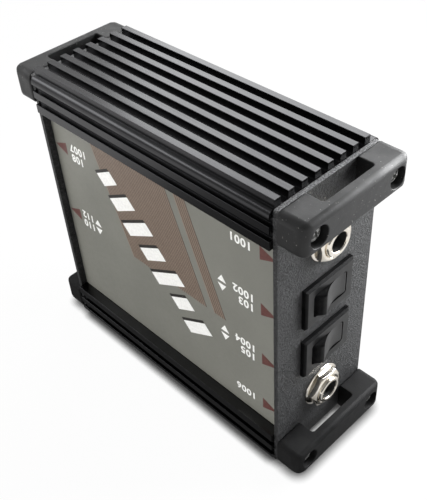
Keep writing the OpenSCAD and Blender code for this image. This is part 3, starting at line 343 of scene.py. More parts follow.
def rail_outline():
    """Corners of a rail's outline: width, height over the plate's edge and corner radius."""
    top = []
    for i in range(FIN_COUNT):
        middle = (i - (FIN_COUNT - 1) / 2) * FIN_PITCH + FIN_SHIFT
        top += [(middle - FIN_HALF, 0, FOOT_R), (middle - FIN_HALF, FIN_H, EDGE_R),
                (middle + FIN_HALF, FIN_H, EDGE_R), (middle + FIN_HALF, 0, FOOT_R)]
    side = [(RIB_Y, 0, CORNER_R)]
    for high in GROOVE_TOPS:
        side += [(RIB_Y, high, EDGE_R), (GROOVE_Y, high, INNER_R),
                 (GROOVE_Y, high - GROOVE_H, INNER_R), (RIB_Y, high - GROOVE_H, EDGE_R)]
    side.append((RIB_Y, RAIL_LOW, EDGE_R))
    side += [(y, h, INNER_R) for y, h in (
        (SLOT_NEAR, RAIL_LOW), (SLOT_NEAR, SLOT_TOP), (SLOT_FAR, SLOT_TOP), (SLOT_FAR, RAIL_LOW),
        (LIP_Y, RAIL_LOW), (LIP_Y, LIP_TOP), (WALL_Y, LIP_TOP))]
    first, steps = -math.acos((WALL_Y - SCREW_Y) / PORT_R), 16
    for i in range(steps + 1):
        turn = first - (math.pi * 1.5 + first) * i / steps
        side.append((SCREW_Y + PORT_R * math.cos(turn), -SCREW_DROP + PORT_R * math.sin(turn), 0))
    side.append((SCREW_Y, ROOF, INNER_R))
    guides = []
    for near, far in GUIDES:
        guides += [(y, h, INNER_R) for y, h in ((near, ROOF), (near, GUIDE_LOW), (far, GUIDE_LOW), (far, ROOF))]
    return top + side + guides + [(-y, h, r) for y, h, r in reversed(side)]


def outline_mesh(name):
    """The outline and the bores of its screw ports as loops of edges, with the corner radii as an attribute."""
    loops = [rail_outline()]
    for side in (-1, 1):
        loops.append([(side * SCREW_Y + PORT_BORE_R * math.cos(a), -SCREW_DROP + PORT_BORE_R * math.sin(a), 0)
                      for a in [math.tau * i / 24 for i in range(24)]])
    points, edges = [], []
    for loop in loops:
        first = len(points)
        points += loop
        edges += [(first + i, first + (i + 1) % len(loop)) for i in range(len(loop))]
    mesh = bpy.data.meshes.new(name)
    mesh.from_pydata([(y * MM, h * MM, 0) for y, h, r in points], edges, [])
    radius = mesh.attributes.new("corner", "FLOAT", "POINT")
    radius.data.foreach_set("value", [r * MM for y, h, r in points])
    return mesh


rail_tree, start, end, add, link = node_tree("rail_extrusion", Length="Float", Finish="Material")
to_curve = add("GeometryNodeMeshToCurve")
fillet = add("GeometryNodeFilletCurve")
fillet.mode = "POLY"
preset(fillet, {"Count": 5, "Limit Radius": True})
fill = add("GeometryNodeFillCurve")
fill.mode = "NGONS"
push = add("GeometryNodeExtrudeMesh")
push.inputs["Individual"].default_value = False
back = add("GeometryNodeFlipFaces")
whole = add("GeometryNodeJoinGeometry")
weld = add("GeometryNodeMergeByDistance")
weld.inputs["Distance"].default_value = 1e-6
link(read_mark(rail_tree, "corner", "FLOAT"), fillet.inputs["Radius"])
link(start.outputs["Length"], push.inputs["Offset Scale"])
in_line(rail_tree, start, to_curve, fillet, fill, push, whole, weld)
in_line(rail_tree, fill, back, whole)
close_tree(rail_tree, start, weld, end)

anodised = finish("black_anodised", (0.05, 0.05, 0.052), 0.3, 1.0)
streaks = grains(anodised, 0.0004, 2.0, (0.006, 1, 1))
roughen(anodised, streaks, 0.21, 0.27)
tint(anodised, grains(anodised, 0.02), (0.05, 0.05, 0.052), (0.059, 0.059, 0.061))
raise_by(anodised, grains(anodised, 0.0003, 2.0), 0.000002, 0.4)

length = RAIL_L - 2 * END_GAP
for name, node, base, up in (("upper_rail_extrusion", "upper_rail", PLATE_TOP, 1),
                             ("lower_rail_extrusion", "lower_rail", FIN_H, -1)):
    rail = grown(name, outline_mesh(name), rail_tree, Length=length * MM, Finish=anodised)
    # The outline lies in width and height, and was pushed along the third axis
    rail.data.transform(Matrix(((0, 0, 1, -length / 2 * MM), (1, 0, 0, 0), (0, up, 0, base * MM), (0, 0, 0, 1))))
    if up < 0:
        rail.data.flip_normals()
    smooth(rail)
    fit(rail, "rail_anodised", node)

# Covers: two aluminium sheets, brushed and anodised like the rails, that slide into the slots of both rails. The
# front one carries the print, the rear one is bare.
sheet = finish("anodised_sheet", (0.07, 0.07, 0.072), 0.42, 1.0)
brushed = grains(sheet, 0.0003, 2.0, (0.015, 1, 1))
roughen(sheet, brushed, 0.34, 0.48)
tint(sheet, grains(sheet, 0.02), (0.06, 0.06, 0.062), (0.08, 0.08, 0.083))
raise_by(sheet, brushed, 0.000004, 0.5)
for node in ("front_cover", "rear_cover"):
    paint(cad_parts[node].data, sheet)

# Printed overlay: a satin film on the front cover, warm grey, screen printed with a hatched brown field, slanted
# white bars, and arrows and numbers that point at the connectors and switches on the two ends.
film = finish("overlay_film", (0.2, 0.2, 0.178), 0.4, gloss=0.2)
tint(film, grains(film, 0.03, 2.0), (0.192, 0.192, 0.171), (0.21, 0.21, 0.187))
roughen(film, grains(film, 0.0012, 4.0), 0.36, 0.46)
raise_by(film, grains(film, 0.0004, 2.0), 0.000003, 0.5)
paint(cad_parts["label_overlay"].data, film)
FILM_Y, INK_T = -18.5, 0.02


def worn(made, rough_grain, low, high, tone_grain, dark, light):
    """Lets the roughness and the colour wander, each in grains of its own size."""
    roughen(made, grains(made, rough_grain), low, high)
    tint(made, grains(made, tone_grain), dark, light)


def toned(colour, share):
    return tuple(min(1, share * c) for c in colour)


def ink(name, colour):
    made = finish(name, colour, 0.4, gloss=0.35)
    worn(made, 0.0015, 0.36, 0.5, 0.0008, toned(colour, 0.94), toned(colour, 1.05))
    return made


def mesh_of(name, work, clean=True):
    """Mesh of a finished piece of work, with its normals turned outward if asked."""
    if clean:
        bmesh.ops.recalc_face_normals(work, faces=work.faces)
    mesh = bpy.data.meshes.new(name)
    work.to_mesh(mesh)
    work.free()
    return mesh


def printed(name, outlines, made, layer=0):
    """Ink on the film, as thin as a print: outlines in width and height on the face, over other layers."""
    rear_y = (FILM_Y - layer * INK_T) * MM
    work = bmesh.new()
    for outline in outlines:
        rear = [work.verts.new((x * MM, rear_y, z * MM)) for x, z in outline]
        front = [work.verts.new((x * MM, rear_y - INK_T * MM, z * MM)) for x, z in outline]
        work.faces.new(front)
        work.faces.new(rear[::-1])
        for i in range(len(outline)):
            j = (i + 1) % len(outline)
            work.faces.new((front[i], rear[i], rear[j], front[j]))
    fit(object_of(name, mesh_of(name, work)), "label_print", made=made)


FIELD_TOP, FIELD_LOW, SLANT = 94.6, 51.0, 0.36
FIELD = ((-31.0, 36.0), (8.5, 5.0))
fall = SLANT * (FIELD_TOP - FIELD_LOW)


def slanted(x, width):
    """Outline of a stripe that leans across the field."""
    return [(x, FIELD_TOP), (x + width, FIELD_TOP), (x + width + fall, FIELD_LOW), (x + fall, FIELD_LOW)]


brown = ink("brown_ink", (0.115, 0.088, 0.07))
printed("brown_field", [slanted(x, width) for x, width in FIELD], brown)

hatch_tree, start, end, add, link = node_tree("hatching", Count="Int", Pitch="Float", Finish="Material")
row = add("GeometryNodeMeshLine")
step = add("ShaderNodeCombineXYZ")
lay = add("GeometryNodeInstanceOnPoints")
link(start.outputs["Count"], row.inputs["Count"])
link(start.outputs["Pitch"], step.inputs["X"])
link(step.outputs["Vector"], row.inputs["Offset"])
link(start.outputs["Geometry"], lay.inputs["Instance"])
in_line(hatch_tree, row, lay)
close_tree(hatch_tree, start, lay, end)
light_brown = ink("light_brown_ink", (0.25, 0.19, 0.15))
HATCH_PITCH, HATCH_W = 1.0, 0.5
hatch_y = FILM_Y - INK_T
for n, (x, width) in enumerate(FIELD):
    line = bpy.data.meshes.new("hatch_line")
    line.from_pydata([(a * MM, y * MM, c * MM) for y in (hatch_y - INK_T, hatch_y)
                      for a, c in slanted(x, HATCH_W)], [],
                     [(3, 2, 1, 0), (4, 5, 6, 7), (0, 1, 5, 4), (1, 2, 6, 5), (2, 3, 7, 6), (3, 0, 4, 7)])
    hatching = grown("brown_hatching_%d" % (n + 1), line, hatch_tree,
                     Count=int(width / HATCH_PITCH), Pitch=HATCH_PITCH * MM, Finish=light_brown)
    fit(hatching, "label_print")

white_ink = ink("white_ink", (0.92, 0.92, 0.9))
black_ink = ink("black_ink", (0.03, 0.028, 0.026))
BAR_LENGTHS, BAR_STEP, BAR_HALF, BAR_LEAN = (8.0, 11.0, 14.0, 11.0, 15.0, 9.0, 12.0), 9.6, 2.5, 0.12
first_bar, along, across = Vector((-23.5, 80.0)), Vector((0.671, -0.741)), Vector((0.741, 0.671))
bars = []
for i, length in enumerate(BAR_LENGTHS):
    middle, half = first_bar + along * (BAR_STEP * i), along * BAR_HALF
    lean = across * length / 2 + along * BAR_LEAN * length
    bars.append([middle - half + lean, middle + half + lean, middle + half - lean, middle - half - lean])
SHADOW_X, SHADOW_Z = -0.9, 0.8
printed("bar_shadows", [[(x + SHADOW_X, z + SHADOW_Z) for x, z in bar] for bar in bars], black_ink, 2)
printed("white_bars", bars, white_ink, 3)
ARROW_HALF, ARROW_FOOT, ARROW_TIP = 1.8, 0.6, 3.3
ARROWS = ((28.5, 67.0), (28.5, 45.0), (-34.2, 53.6))
printed("white_arrows", [[(x - up * ARROW_HALF, z + up * ARROW_FOOT), (x + up * ARROW_HALF, z + up * ARROW_FOOT),
                          (x, z + up * ARROW_TIP)] for x, z in ARROWS for up in (1, -1)], white_ink)
maroon = ink("maroon_ink", (0.12, 0.05, 0.045))
EDGE_ARROWS = [(47.0, z, 1) for z in (88.6, 66.8, 45.1, 23.4)] + [(-47.2, z, -1) for z in (82.2, 53.7)]
EDGE_BACK, EDGE_TIP, EDGE_HALF = 2.6, 3.6, 2.5
printed("edge_arrows", [[(x - EDGE_BACK * way, z + EDGE_HALF), (x + EDGE_TIP * way, z),
                         (x - EDGE_BACK * way, z - EDGE_HALF)] for x, z, way in EDGE_ARROWS], maroon)

NUMBERS = (("1001", 37.0, 88.6), ("1002", 37.5, 68.9), ("103", 38.5, 64.9), ("1004", 37.5, 47.0),
           ("105", 38.5, 43.0), ("1006", 37.0, 23.4), ("1007", -38.0, 84.2), ("108", -39.0, 80.2),
           ("112", -39.8, 55.6), ("110", -39.8, 51.6))
FIGURE_H, FIGURE_SPACE, FIGURE_WEIGHT = 4.1, 1.1, 0.13
work = bmesh.new()
for sign, x, z in NUMBERS:
    letters = bpy.data.curves.new("number", "FONT")
    letters.body = sign
    letters.size = FIGURE_H * MM
    letters.space_character = FIGURE_SPACE
    letters.align_x, letters.align_y = "CENTER", "CENTER"
    letters.extrude = INK_T / 2 * MM
    letters.offset = FIGURE_WEIGHT * MM
    figure = object_of("number", letters)
    mesh = bpy.data.meshes.new_from_object(figure.evaluated_get(bpy.context.evaluated_depsgraph_get()))
    # Upside down, as the box stands on its side
    mesh.transform(Matrix(((-1, 0, 0, x * MM), (0, 0, -1, (FILM_Y - INK_T / 2) * MM), (0, -1, 0, z * MM),
                           (0, 0, 0, 1))))
    work.from_mesh(mesh)
    bpy.data.objects.remove(figure)
bmesh.ops.remove_doubles(work, verts=work.verts, dist=1e-7)
fit(object_of("printed_numbers", mesh_of("numbers", work, False)), "label_print", made=white_ink)

# End plates: steel sheet, punched for the jacks, the switches and the output connector, covered with a fine
# wrinkle powder coat and held on the rails' ends by the bumpers' screws.
wrinkle = finish("wrinkle_coat", (0.05, 0.05, 0.052), 0.5, gloss=0.4)
leather = grains(wrinkle, 0.0007, 4.0, rough=0.7)
roughen(wrinkle, leather, 0.42, 0.6)
base = tint(wrinkle, leather, (0.01, 0.01, 0.0105), (0.075, 0.076, 0.078), 0.38, 0.66)
raise_by(wrinkle, leather, 0.0006, 1.0)


def over(made, below, amount, colour):
    """Lays another colour over the one below by an amount."""
    mix = made.node_tree.nodes.new("ShaderNodeMix")
    mix.data_type = "RGBA"
    amount_in, below_in, colour_in, result = mix.inputs[0], mix.inputs[6], mix.inputs[7], mix.outputs[2]
    colour_in.default_value = (*colour, 1)
    made.node_tree.links.new(amount, amount_in)
    made.node_tree.links.new(below, below_in)
    lead(made, result, "Base Color")


# Painted highlight: a lighter, speckled grey on the faces that look up or down, along the sheet's upper and lower
# edges
painted_highlight_facing = math_node(wrinkle.node_tree, "ABSOLUTE", coordinate(wrinkle.node_tree, "Normal", "Z"))
edge = spread(wrinkle, painted_highlight_facing, 0, 1, 0.35, 0.8)
dust_and_highlight_specks = spread(wrinkle, grains(wrinkle, 0.0005, 2.0), 0.1, 1.0, 0.4, 0.6)
over(wrinkle, base, math_node(wrinkle.node_tree, "MULTIPLY", edge, dust_and_highlight_specks), (0.26, 0.26, 0.265))


def round_edges(piece, width, steps=2, angle=30):
    """Rounds the edges that are sharper than an angle in degrees, by a width in millimetres."""
    rounding = piece.modifiers.new("rounding", "BEVEL")
    rounding.width = width * MM
    rounding.segments = steps
    rounding.limit_method = "ANGLE"
    rounding.angle_limit = math.radians(angle)
    return baked(piece)


SHEET_ROUND = 0.2
for side in ("input", "output"):
    name = side + "_plate_sheet"
    work = bmesh.new()
    work.from_mesh(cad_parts[side + "_end_plate"].data)
    bmesh.ops.remove_doubles(work, verts=work.verts, dist=2e-6)
    bmesh.ops.dissolve_limit(work, angle_limit=math.radians(0.5), verts=work.verts, edges=work.edges)
    plate = round_edges(object_of(name, mesh_of(name, work, False)), SHEET_ROUND)
    smooth(plate, 35)
    fit(plate, "plate_paint", side + "_end_plate", made=wrinkle)

# Corner bumpers: moulded in tough satin plastic, rounded all over, with a slot along the plate and two wells for
# the screws that hold rail, plate and bumper together. They carry a little dust and scuffing.
BUMPER_OUT, BUMPER_H, BUMPER_W, RISE = 9.8, 10.8, 43.6, 0.3
REAR_R, END_R, OUTER_R, LOWER_R, UPRIGHT_R = 0.8, 2.6, 1.8, 1.7, 3.5
SLOT_R, SLOT_OUT, SLOT_HALF, SLOT_MOUTH = 1.0, 6.0, 10.5, 0.3
WELL_R, WELL_DEPTH, WELL_MOUTH, SHANK_HOLE_R = 3.35, 4.4, 0.25, 1.5
BUMPER_LOW = RISE - BUMPER_H
SEAT = BUMPER_OUT - WELL_DEPTH


def block(name, low, high, radius, steps=8):
    """Box between two corners, in millimetres, its edges rounded by a radius or by a rule for each side."""
    work = bmesh.new()
    bmesh.ops.create_cube(work, size=1)
    weight = work.edges.layers.float.new("bevel_weight_edge")
    for edge in work.edges:
        side = [round(a + b) for a, b in zip(edge.verts[0].co, edge.verts[1].co)]
        edge[weight] = radius(*side) if callable(radius) else radius
    largest = max(edge[weight] for edge in work.edges)
    for edge in work.edges:
        edge[weight] /= largest
    for v in work.verts:
        v.co = [(a + (b - a) * (s + 0.5)) * MM for a, b, s in zip(low, high, v.co)]
    piece = object_of(name, mesh_of(name, work, False))
    rounding = piece.modifiers.new("rounding", "BEVEL")
    rounding.limit_method = "WEIGHT"
    rounding.width = largest * MM
    rounding.segments = steps
    return baked(piece)


def loft(name, outlines, ring=False):
    """Closed skin over outlines of equal count, with flat ends or, for a ring, joined end to end."""
    work = bmesh.new()
    rows = [[work.verts.new([c * MM for c in point]) for point in outline] for outline in outlines]
    for a, b in zip(rows, rows[1:] + (rows[:1] if ring else [])):
        for i in range(len(a)):
            j = (i + 1) % len(a)
            work.faces.new((a[i], a[j], b[j], b[i]))
    if not ring:
        work.faces.new(rows[0])
        work.faces.new(rows[-1])
    return object_of(name, mesh_of(name, work))


def turned_piece(name, profile, ring=False, turns=64):
    """Skin of a profile, radius and distance, turned round the X axis."""
    return loft(name, [[(x, r * math.cos(math.tau * i / turns), r * math.sin(math.tau * i / turns))
                        for i in range(turns)] for r, x in profile], ring)


def shifted(piece, *by):
    piece.data.transform(Matrix.Translation([c * MM for c in by]))
    return piece


def shaped(piece, operation, *tools):
    """Cuts tools from a piece, or joins them to it, and drops the tools."""
    for tool in tools:
        step = piece.modifiers.new("shape", "BOOLEAN")
        step.operation = operation
        step.solver = "EXACT"
        step.object = tool
    baked(piece)
    for tool in tools:
        bpy.data.objects.remove(tool)


def bumper_edge(x, y, z):
    """Radius of the bumper's edge on a given side."""
    if x < 0:
        return REAR_R
    if x == 0:
        return END_R if z > 0 else LOWER_R
    if y == 0:
        return OUTER_R if z > 0 else LOWER_R
    return UPRIGHT_R


def slot_outline(z, grow):
    """Outline of the slot along the plate, grown at its mouths."""
    r, out, half = SLOT_R + grow, SLOT_OUT + grow, SLOT_HALF + grow
    points = [(-1, -half, z)]
    for y, first in ((r - half, -90), (half - r, 0)):
        points += [(out - r + r * math.cos(a), y + r * math.sin(a), z)
                   for a in [math.radians(first + 90 * i / 6) for i in range(7)]]
    return points + [(-1, half, z)]


def mouth(r, steps=5):
    """Steps of a rounded mouth: how far it grows and its depth."""
    turns = [math.pi / 2 * i / steps for i in range(steps + 1)]
    return [(r - r * math.cos(a), r - r * math.sin(a)) for a in turns]


def stood(piece, way, x, z, up=1):
    """Stands a piece that points along X on one of the two ends, at a height, upside down if asked."""
    piece.data.transform(Matrix(((way, 0, 0, way * x * MM), (0, way, 0, 0), (0, 0, up, z * MM), (0, 0, 0, 1))))
    if up < 0:
        piece.data.flip_normals()
    return piece


bumper = block("bumper", (0, -BUMPER_W / 2, BUMPER_LOW), (BUMPER_OUT, BUMPER_W / 2, RISE), bumper_edge)
slot_levels = [(BUMPER_LOW - 1, SLOT_MOUTH)] + [(BUMPER_LOW + d, g) for g, d in reversed(mouth(SLOT_MOUTH))]
slot_levels += [(RISE - d, g) for g, d in mouth(SLOT_MOUTH)] + [(RISE + 1, SLOT_MOUTH)]
slot_tool = loft("slot_tool", [slot_outline(z, g) for z, g in slot_levels])
well = [(SHANK_HOLE_R, -1), (SHANK_HOLE_R, SEAT), (WELL_R, SEAT)]
well += [(WELL_R + g, BUMPER_OUT - d) for g, d in mouth(WELL_MOUTH)] + [(WELL_R + WELL_MOUTH, BUMPER_OUT + 1)]
wells = [shifted(turned_piece("well_tool", well), 0, y, -SCREW_DROP) for y in (-SCREW_Y, SCREW_Y)]
shaped(bumper, "DIFFERENCE", slot_tool, *wells)
smooth(bumper, 32)

bumper_plastic = finish("bumper_plastic", (0.025, 0.025, 0.026), 0.45)
cloud = grains(bumper_plastic, 0.009, 4.0, rough=0.6)
fine = grains(bumper_plastic, 0.0004, 3.0)
roughen(bumper_plastic, cloud, 0.44, 0.66)
base = tint(bumper_plastic, cloud, (0.009, 0.009, 0.0093), (0.015, 0.015, 0.0153))
raise_by(bumper_plastic, cloud, 0.0002, 0.6)
raise_by(bumper_plastic, fine, 0.00003, 0.7)
# Dust lies on the upper two. The lower two, on which the box stands, get far less gloss: painted shade, for the
# box's shadow on them.
height = coordinate(bumper_plastic.node_tree, "Object", "Z")
dust_and_highlight_specks = spread(bumper_plastic, grains(bumper_plastic, 0.0006, 1.0), 0, 0.8, 0.73, 0.79)
upper = spread(bumper_plastic, height, 0, 1, 0.015, 0.06)
dust = math_node(bumper_plastic.node_tree, "MULTIPLY", dust_and_highlight_specks, upper)
over(bumper_plastic, base, dust, (0.35, 0.34, 0.32))
# Painted shade: the gloss falls away on the lower two
lead(bumper_plastic, spread(bumper_plastic, height, 0.1, 0.5, 0.015, 0.06), "Specular IOR Level")

for level, base_z, up in (("upper", PLATE_TOP, 1), ("lower", FIN_H, -1)):
    for side, way in (("input", 1), ("output", -1)):
        name = level + "_" + side + "_bumper"
        moulding = stood(object_of(name + "_moulding", bumper.data.copy()), way, PLATE_OUT, base_z, up)
        fit(moulding, "bumper_plastic", name, made=bumper_plastic)
bpy.data.objects.remove(bumper)

# Screws: pan head screws with a cross recess, black oxide over steel, coloured a lighter grey as painted sheen for
# the light on their heads, one in each bumper well and two on the output connector.
# The grey is painted sheen: lighter than black oxide, for the light that the heads catch
screw_black = finish("screw_black", (0.28, 0.28, 0.27), 0.45, 0.4)
worn(screw_black, 0.0006, 0.38, 0.55, 0.0015, (0.2, 0.2, 0.195), (0.4, 0.4, 0.39))


def pan_head(head_d, head_h, shank_d, shank_l):
    """Pan head with a cross recess, standing on the origin and pointing along X, with its shank behind."""
    r = head_d / 2
    profile = [(shank_d / 2 - 0.3, -shank_l), (shank_d / 2, 0.3 - shank_l), (shank_d / 2, 0), (r - 0.15, 0),
               (r, 0.15), (r, head_h * 0.45)]
    profile += [(r * math.cos(a), head_h * (0.45 + 0.55 * math.sin(a)))
                for a in [math.radians(8 * i) for i in range(1, 11)]]
    head = turned_piece("screw_head", profile, turns=40)
    arm, half = head_d * 0.3, head_d * 0.075
    for turn in (0, math.pi / 2):
        groove = []
        for x, share in ((head_h * 0.3, 0.6), (head_h * 1.3, 1.1)):
            groove.append([(x, *(Matrix.Rotation(turn, 2) @ Vector((a * arm * share, b * half * share))))
                           for a, b in ((-1, -1), (1, -1), (1, 1), (-1, 1))])
        shaped(head, "DIFFERENCE", loft("groove", groove))
    smooth(head)
    return head


screw_tree, start, end, add, link = node_tree("screws", Screw="Object", Finish="Material")
chosen = add("GeometryNodeObjectInfo")
aim = add("FunctionNodeAlignRotationToVector")
aim.axis = "X"
roll = add("FunctionNodeAxisAngleToRotation")
roll.inputs["Axis"].default_value = (1, 0, 0)
both = add("FunctionNodeRotateRotation")
both.rotation_space = "LOCAL"
put = add("GeometryNodeInstanceOnPoints")
link(start.outputs["Screw"], chosen.inputs["Object"])
link(read_mark(screw_tree, "facing", "FLOAT_VECTOR"), aim.inputs["Vector"])
link(read_mark(screw_tree, "turn", "FLOAT"), roll.inputs["Angle"])
link(aim.outputs["Rotation"], both.inputs["Rotation"])
link(roll.outputs["Rotation"], both.inputs["Rotate By"])
link(chosen.outputs["Geometry"], put.inputs["Instance"])
link(both.outputs["Rotation"], put.inputs["Rotation"])
in_line(screw_tree, start, put)
close_tree(screw_tree, start, put, end)


def screws(name, head, seats, node):
    """One piece with a screw at each seat: place in millimetres, direction and turn of the cross."""
    mesh = bpy.data.meshes.new(name)
    mesh.from_pydata([Vector(place) * MM for place, way, turn in seats], [], [])
    ways = mesh.attributes.new("facing", "FLOAT_VECTOR", "POINT")
    ways.data.foreach_set("vector", [v for place, way, turn in seats for v in way])
    turns = mesh.attributes.new("turn", "FLOAT", "POINT")
    turns.data.foreach_set("value", [math.radians(turn) for place, way, turn in seats])
    piece = grown(name, mesh, screw_tree, Screw=head, Finish=screw_black)
    bpy.data.objects.remove(head)
    fit(piece, "screw_black", node)


SCREW_GRIP = 9
cross_turns = iter((12, 50, 71, 28, 5, 63, 37, 80))
seats = [((side * (PLATE_OUT + SEAT), y, z), (side, 0, 0), next(cross_turns)) for side in (1, -1)
         for z in (PLATE_TOP - SCREW_DROP, FIN_H + SCREW_DROP) for y in (-SCREW_Y, SCREW_Y)]
screws("bumper_pan_screws", pan_head(head_d=5.8, head_h=3.2, shank_d=2.7, shank_l=SEAT + PLATE_T + SCREW_GRIP),
       seats, "bumper_screws")

# Phone jacks: a threaded bushing in a frame of bent strip with an earth lug, held in the plate by a hexagon nut
# over a dished washer, all nickel plated, with painted shade inside the bushing's bore.
nickel = finish("bright_nickel", (0.86, 0.81, 0.73), 0.1, 1.0)
worn(nickel, 0.002, 0.06, 0.14, 0.003, (0.82, 0.76, 0.66), (0.9, 0.86, 0.79))
raise_by(nickel, grains(nickel, 0.0012, 2.0), 0.000008, 0.5)
# Painted shade: a near-black finish for the bore, standing for the shade deep inside the jack
painted_bore_shade = finish("dark_bore", (0.02, 0.02, 0.02), 0.6)
worn(painted_bore_shade, 0.001, 0.5, 0.7, 0.001, (0.012, 0.012, 0.012), (0.025, 0.025, 0.024))
BUSH_R, BORE_R, BUSH_OUT, BUSH_IN, WASHER_T, NUT_T, NUT_AF = 4.75, 3.2, 4.1, 3.2, 0.8, 2.4, 12.7
WASHER = ((4.9, 0), (7.6, 0), (7.84, 0.06), (7.9, 0.18), (7.86, 0.3), (7.7, 0.42), (7.4, 0.55), (7.0, 0.68),
          (6.6, 0.76), (6.2, WASHER_T), (4.9, WASHER_T))
# Reach behind the plate, half width, lower and upper face
STRIPS = (("strip", 1.2, 6, -5.95, 9.2), ("arm", 22, 4.5, 8.0, 9.2), ("lug", 9, 1.5, -5.95, -5.35))
SOFT_R, RIDGE_R, THREAD_PITCH, THREAD_TURNS, THREAD_START = 0.15, 0.14, 0.79, 5.0, 0.45


def joined(piece, *others):
    """One piece of several that stay as they are."""
    work = bmesh.new()
    work.from_mesh(piece.data)
    for other in others:
        work.from_mesh(other.data)
        bpy.data.objects.remove(other)
    piece.data = mesh_of(piece.name, work, False)
    return piece


def hex_nut(name, turn):
    """Nut with its corners bevelled by a cone, standing on the origin and pointing along X."""
    corner_r = NUT_AF / math.sqrt(3)
    face_r = NUT_AF / 2 - (corner_r - NUT_AF / 2) / 2
    bore, count = BUSH_R + 0.15, 120
    spokes = []
    for i in range(count):
        a = math.tau * i / count
        flat = NUT_AF / 2 / math.cos((a - math.radians(turn)) % (math.pi / 3) - math.pi / 6)
        brow = NUT_T - (flat - face_r) * math.tan(math.radians(30))
        spokes.append([(x, r * math.cos(a), r * math.sin(a)) for r, x in (
            (bore, 0), (flat, 0), (flat, brow), (face_r, NUT_T),
            (bore + 0.4, NUT_T), (bore, NUT_T - 0.4), (bore, 0.5))])
    return loft(name, zip(*spokes), ring=True)


thread_tree, start, end, add, link = node_tree("thread", Radius="Float", Pitch="Float", Turns="Float",
                                               Finish="Material")
winding = add("GeometryNodeCurveSpiral")
winding.inputs["Resolution"].default_value = 40
ridge = add("GeometryNodeCurvePrimitiveCircle")
preset(ridge, {"Resolution": 6, "Radius": RIDGE_R * MM})
sweep = add("GeometryNodeCurveToMesh")
sweep.inputs["Fill Caps"].default_value = True
for key in ("Start Radius", "End Radius"):
    link(start.outputs["Radius"], winding.inputs[key])
link(start.outputs["Turns"], winding.inputs["Rotations"])
link(math_node(thread_tree, "MULTIPLY", start.outputs["Turns"], start.outputs["Pitch"]), winding.inputs["Height"])
link(ridge.outputs["Curve"], sweep.inputs["Profile Curve"])
in_line(thread_tree, winding, sweep)
close_tree(thread_tree, start, sweep, end)

front = PLATE_OUT + BUSH_OUT
tail = PLATE_IN - BUSH_IN
for jack, z, nut_turn in (("input_jack", 23.5, 23), ("thru_jack", 87.5, 6)):
    washer = turned_piece(jack + "_dished_washer", WASHER, ring=True, turns=80)
    nut = round_edges(hex_nut(jack + "_hex_nut", 30 + nut_turn), 0.1)
    for piece, node, x in ((washer, "_washer", PLATE_OUT), (nut, "_nut", PLATE_OUT + WASHER_T)):
        shifted(piece, x, 0, z)
        smooth(piece, 35)
        fit(piece, "nickel", jack + node, made=nickel)
    bushing = turned_piece(jack + "_bushing", [
        (BUSH_R, tail), (BUSH_R, front - 0.35), (BUSH_R - 0.12, front - 0.12), (BUSH_R - 0.4, front),
        (BORE_R + 0.4, front), (BORE_R + 0.12, front - 0.12), (BORE_R, front - 0.4), (BORE_R, tail)], ring=True)
    smooth(bushing, 50)
    # The bore's faces take the painted shade
    for face in bushing.data.polygons:
        if math.hypot(face.center.y, face.center.z) < (BORE_R + 0.03) * MM:
            face.material_index = 1
    strip, arm, lug = [block(name, (PLATE_IN - reach, -half, low), (PLATE_IN, half, high), SOFT_R, 2)
                       for name, reach, half, low, high in STRIPS]
    shaped(strip, "DIFFERENCE", turned_piece("passage", [(BUSH_R - 0.1, 40), (BUSH_R - 0.1, 60)]))
    joined(bushing, strip, arm, lug)
    for made in (nickel, painted_bore_shade):
        bushing.data.materials.append(made)
    shifted(bushing, 0, 0, z)
    fit(bushing, "nickel", jack + "_frame")
    thread = grown(jack + "_thread", bpy.data.meshes.new("thread"), thread_tree, Finish=nickel,
                   Radius=(BUSH_R - 0.02) * MM, Pitch=THREAD_PITCH * MM, Turns=THREAD_TURNS)
    # Wound upwards, then laid along the bushing
    thread_end = front - THREAD_START - THREAD_TURNS * THREAD_PITCH
    thread.data.transform(Matrix(((0, 0, 1, thread_end * MM), (1, 0, 0, 0), (0, 1, 0, z * MM), (0, 0, 0, 1))))
    smooth(thread, 70)
    fit(thread, "nickel")

# Rocker switches: a bevelled bezel on a housing that snaps into the panel, with a hollow-faced rocker that swings
# in it, both moulded in black plastic with a satin, faintly sparked surface.
BEZEL_T, BEZEL_HALF_L, BEZEL_HALF_W, BEVEL, BEZEL_ROUND = 1.9, 10.6, 7.75, 0.7, 0.15
BODY_DEPTH, BODY_HALF_L, BODY_HALF_W = 14, 9.4, 6.4
PIVOT_DEPTH, ROCKER_GAP, TILT, OPENING_ROUND = 5.9, 0.38, math.radians(11.3), 1.1
OPENING_W, SKIRT, CAVITY_HALF, FLOOR = 9.1, 3.4, 8.7, -8.6
SWING_R, ROCKER_R, FACE_R, FACE_U, ROCKER_ROUND = 9.5033, 9.1333, 14.245, 20.177, 0.16
PIN_HALF = ((3.0, 3.9), (1.4, 3.9), (1.4, 5.45), (1.2, 5.65))


def drum(name, outline, r, half, rim, steps=6):
    """Skin of an outline that goes by its radius, across a width with rounded rims."""
    turns = [math.pi / 2 * i / steps for i in range(steps + 1)]
    upper = [(r - rim * (1 - math.cos(a)), half - rim + rim * math.sin(a)) for a in turns]
    levels = [(radius, -z) for radius, z in reversed(upper)] + upper
    return loft(name, [[(u, v, z) for u, v in outline(radius)] for radius, z in levels])


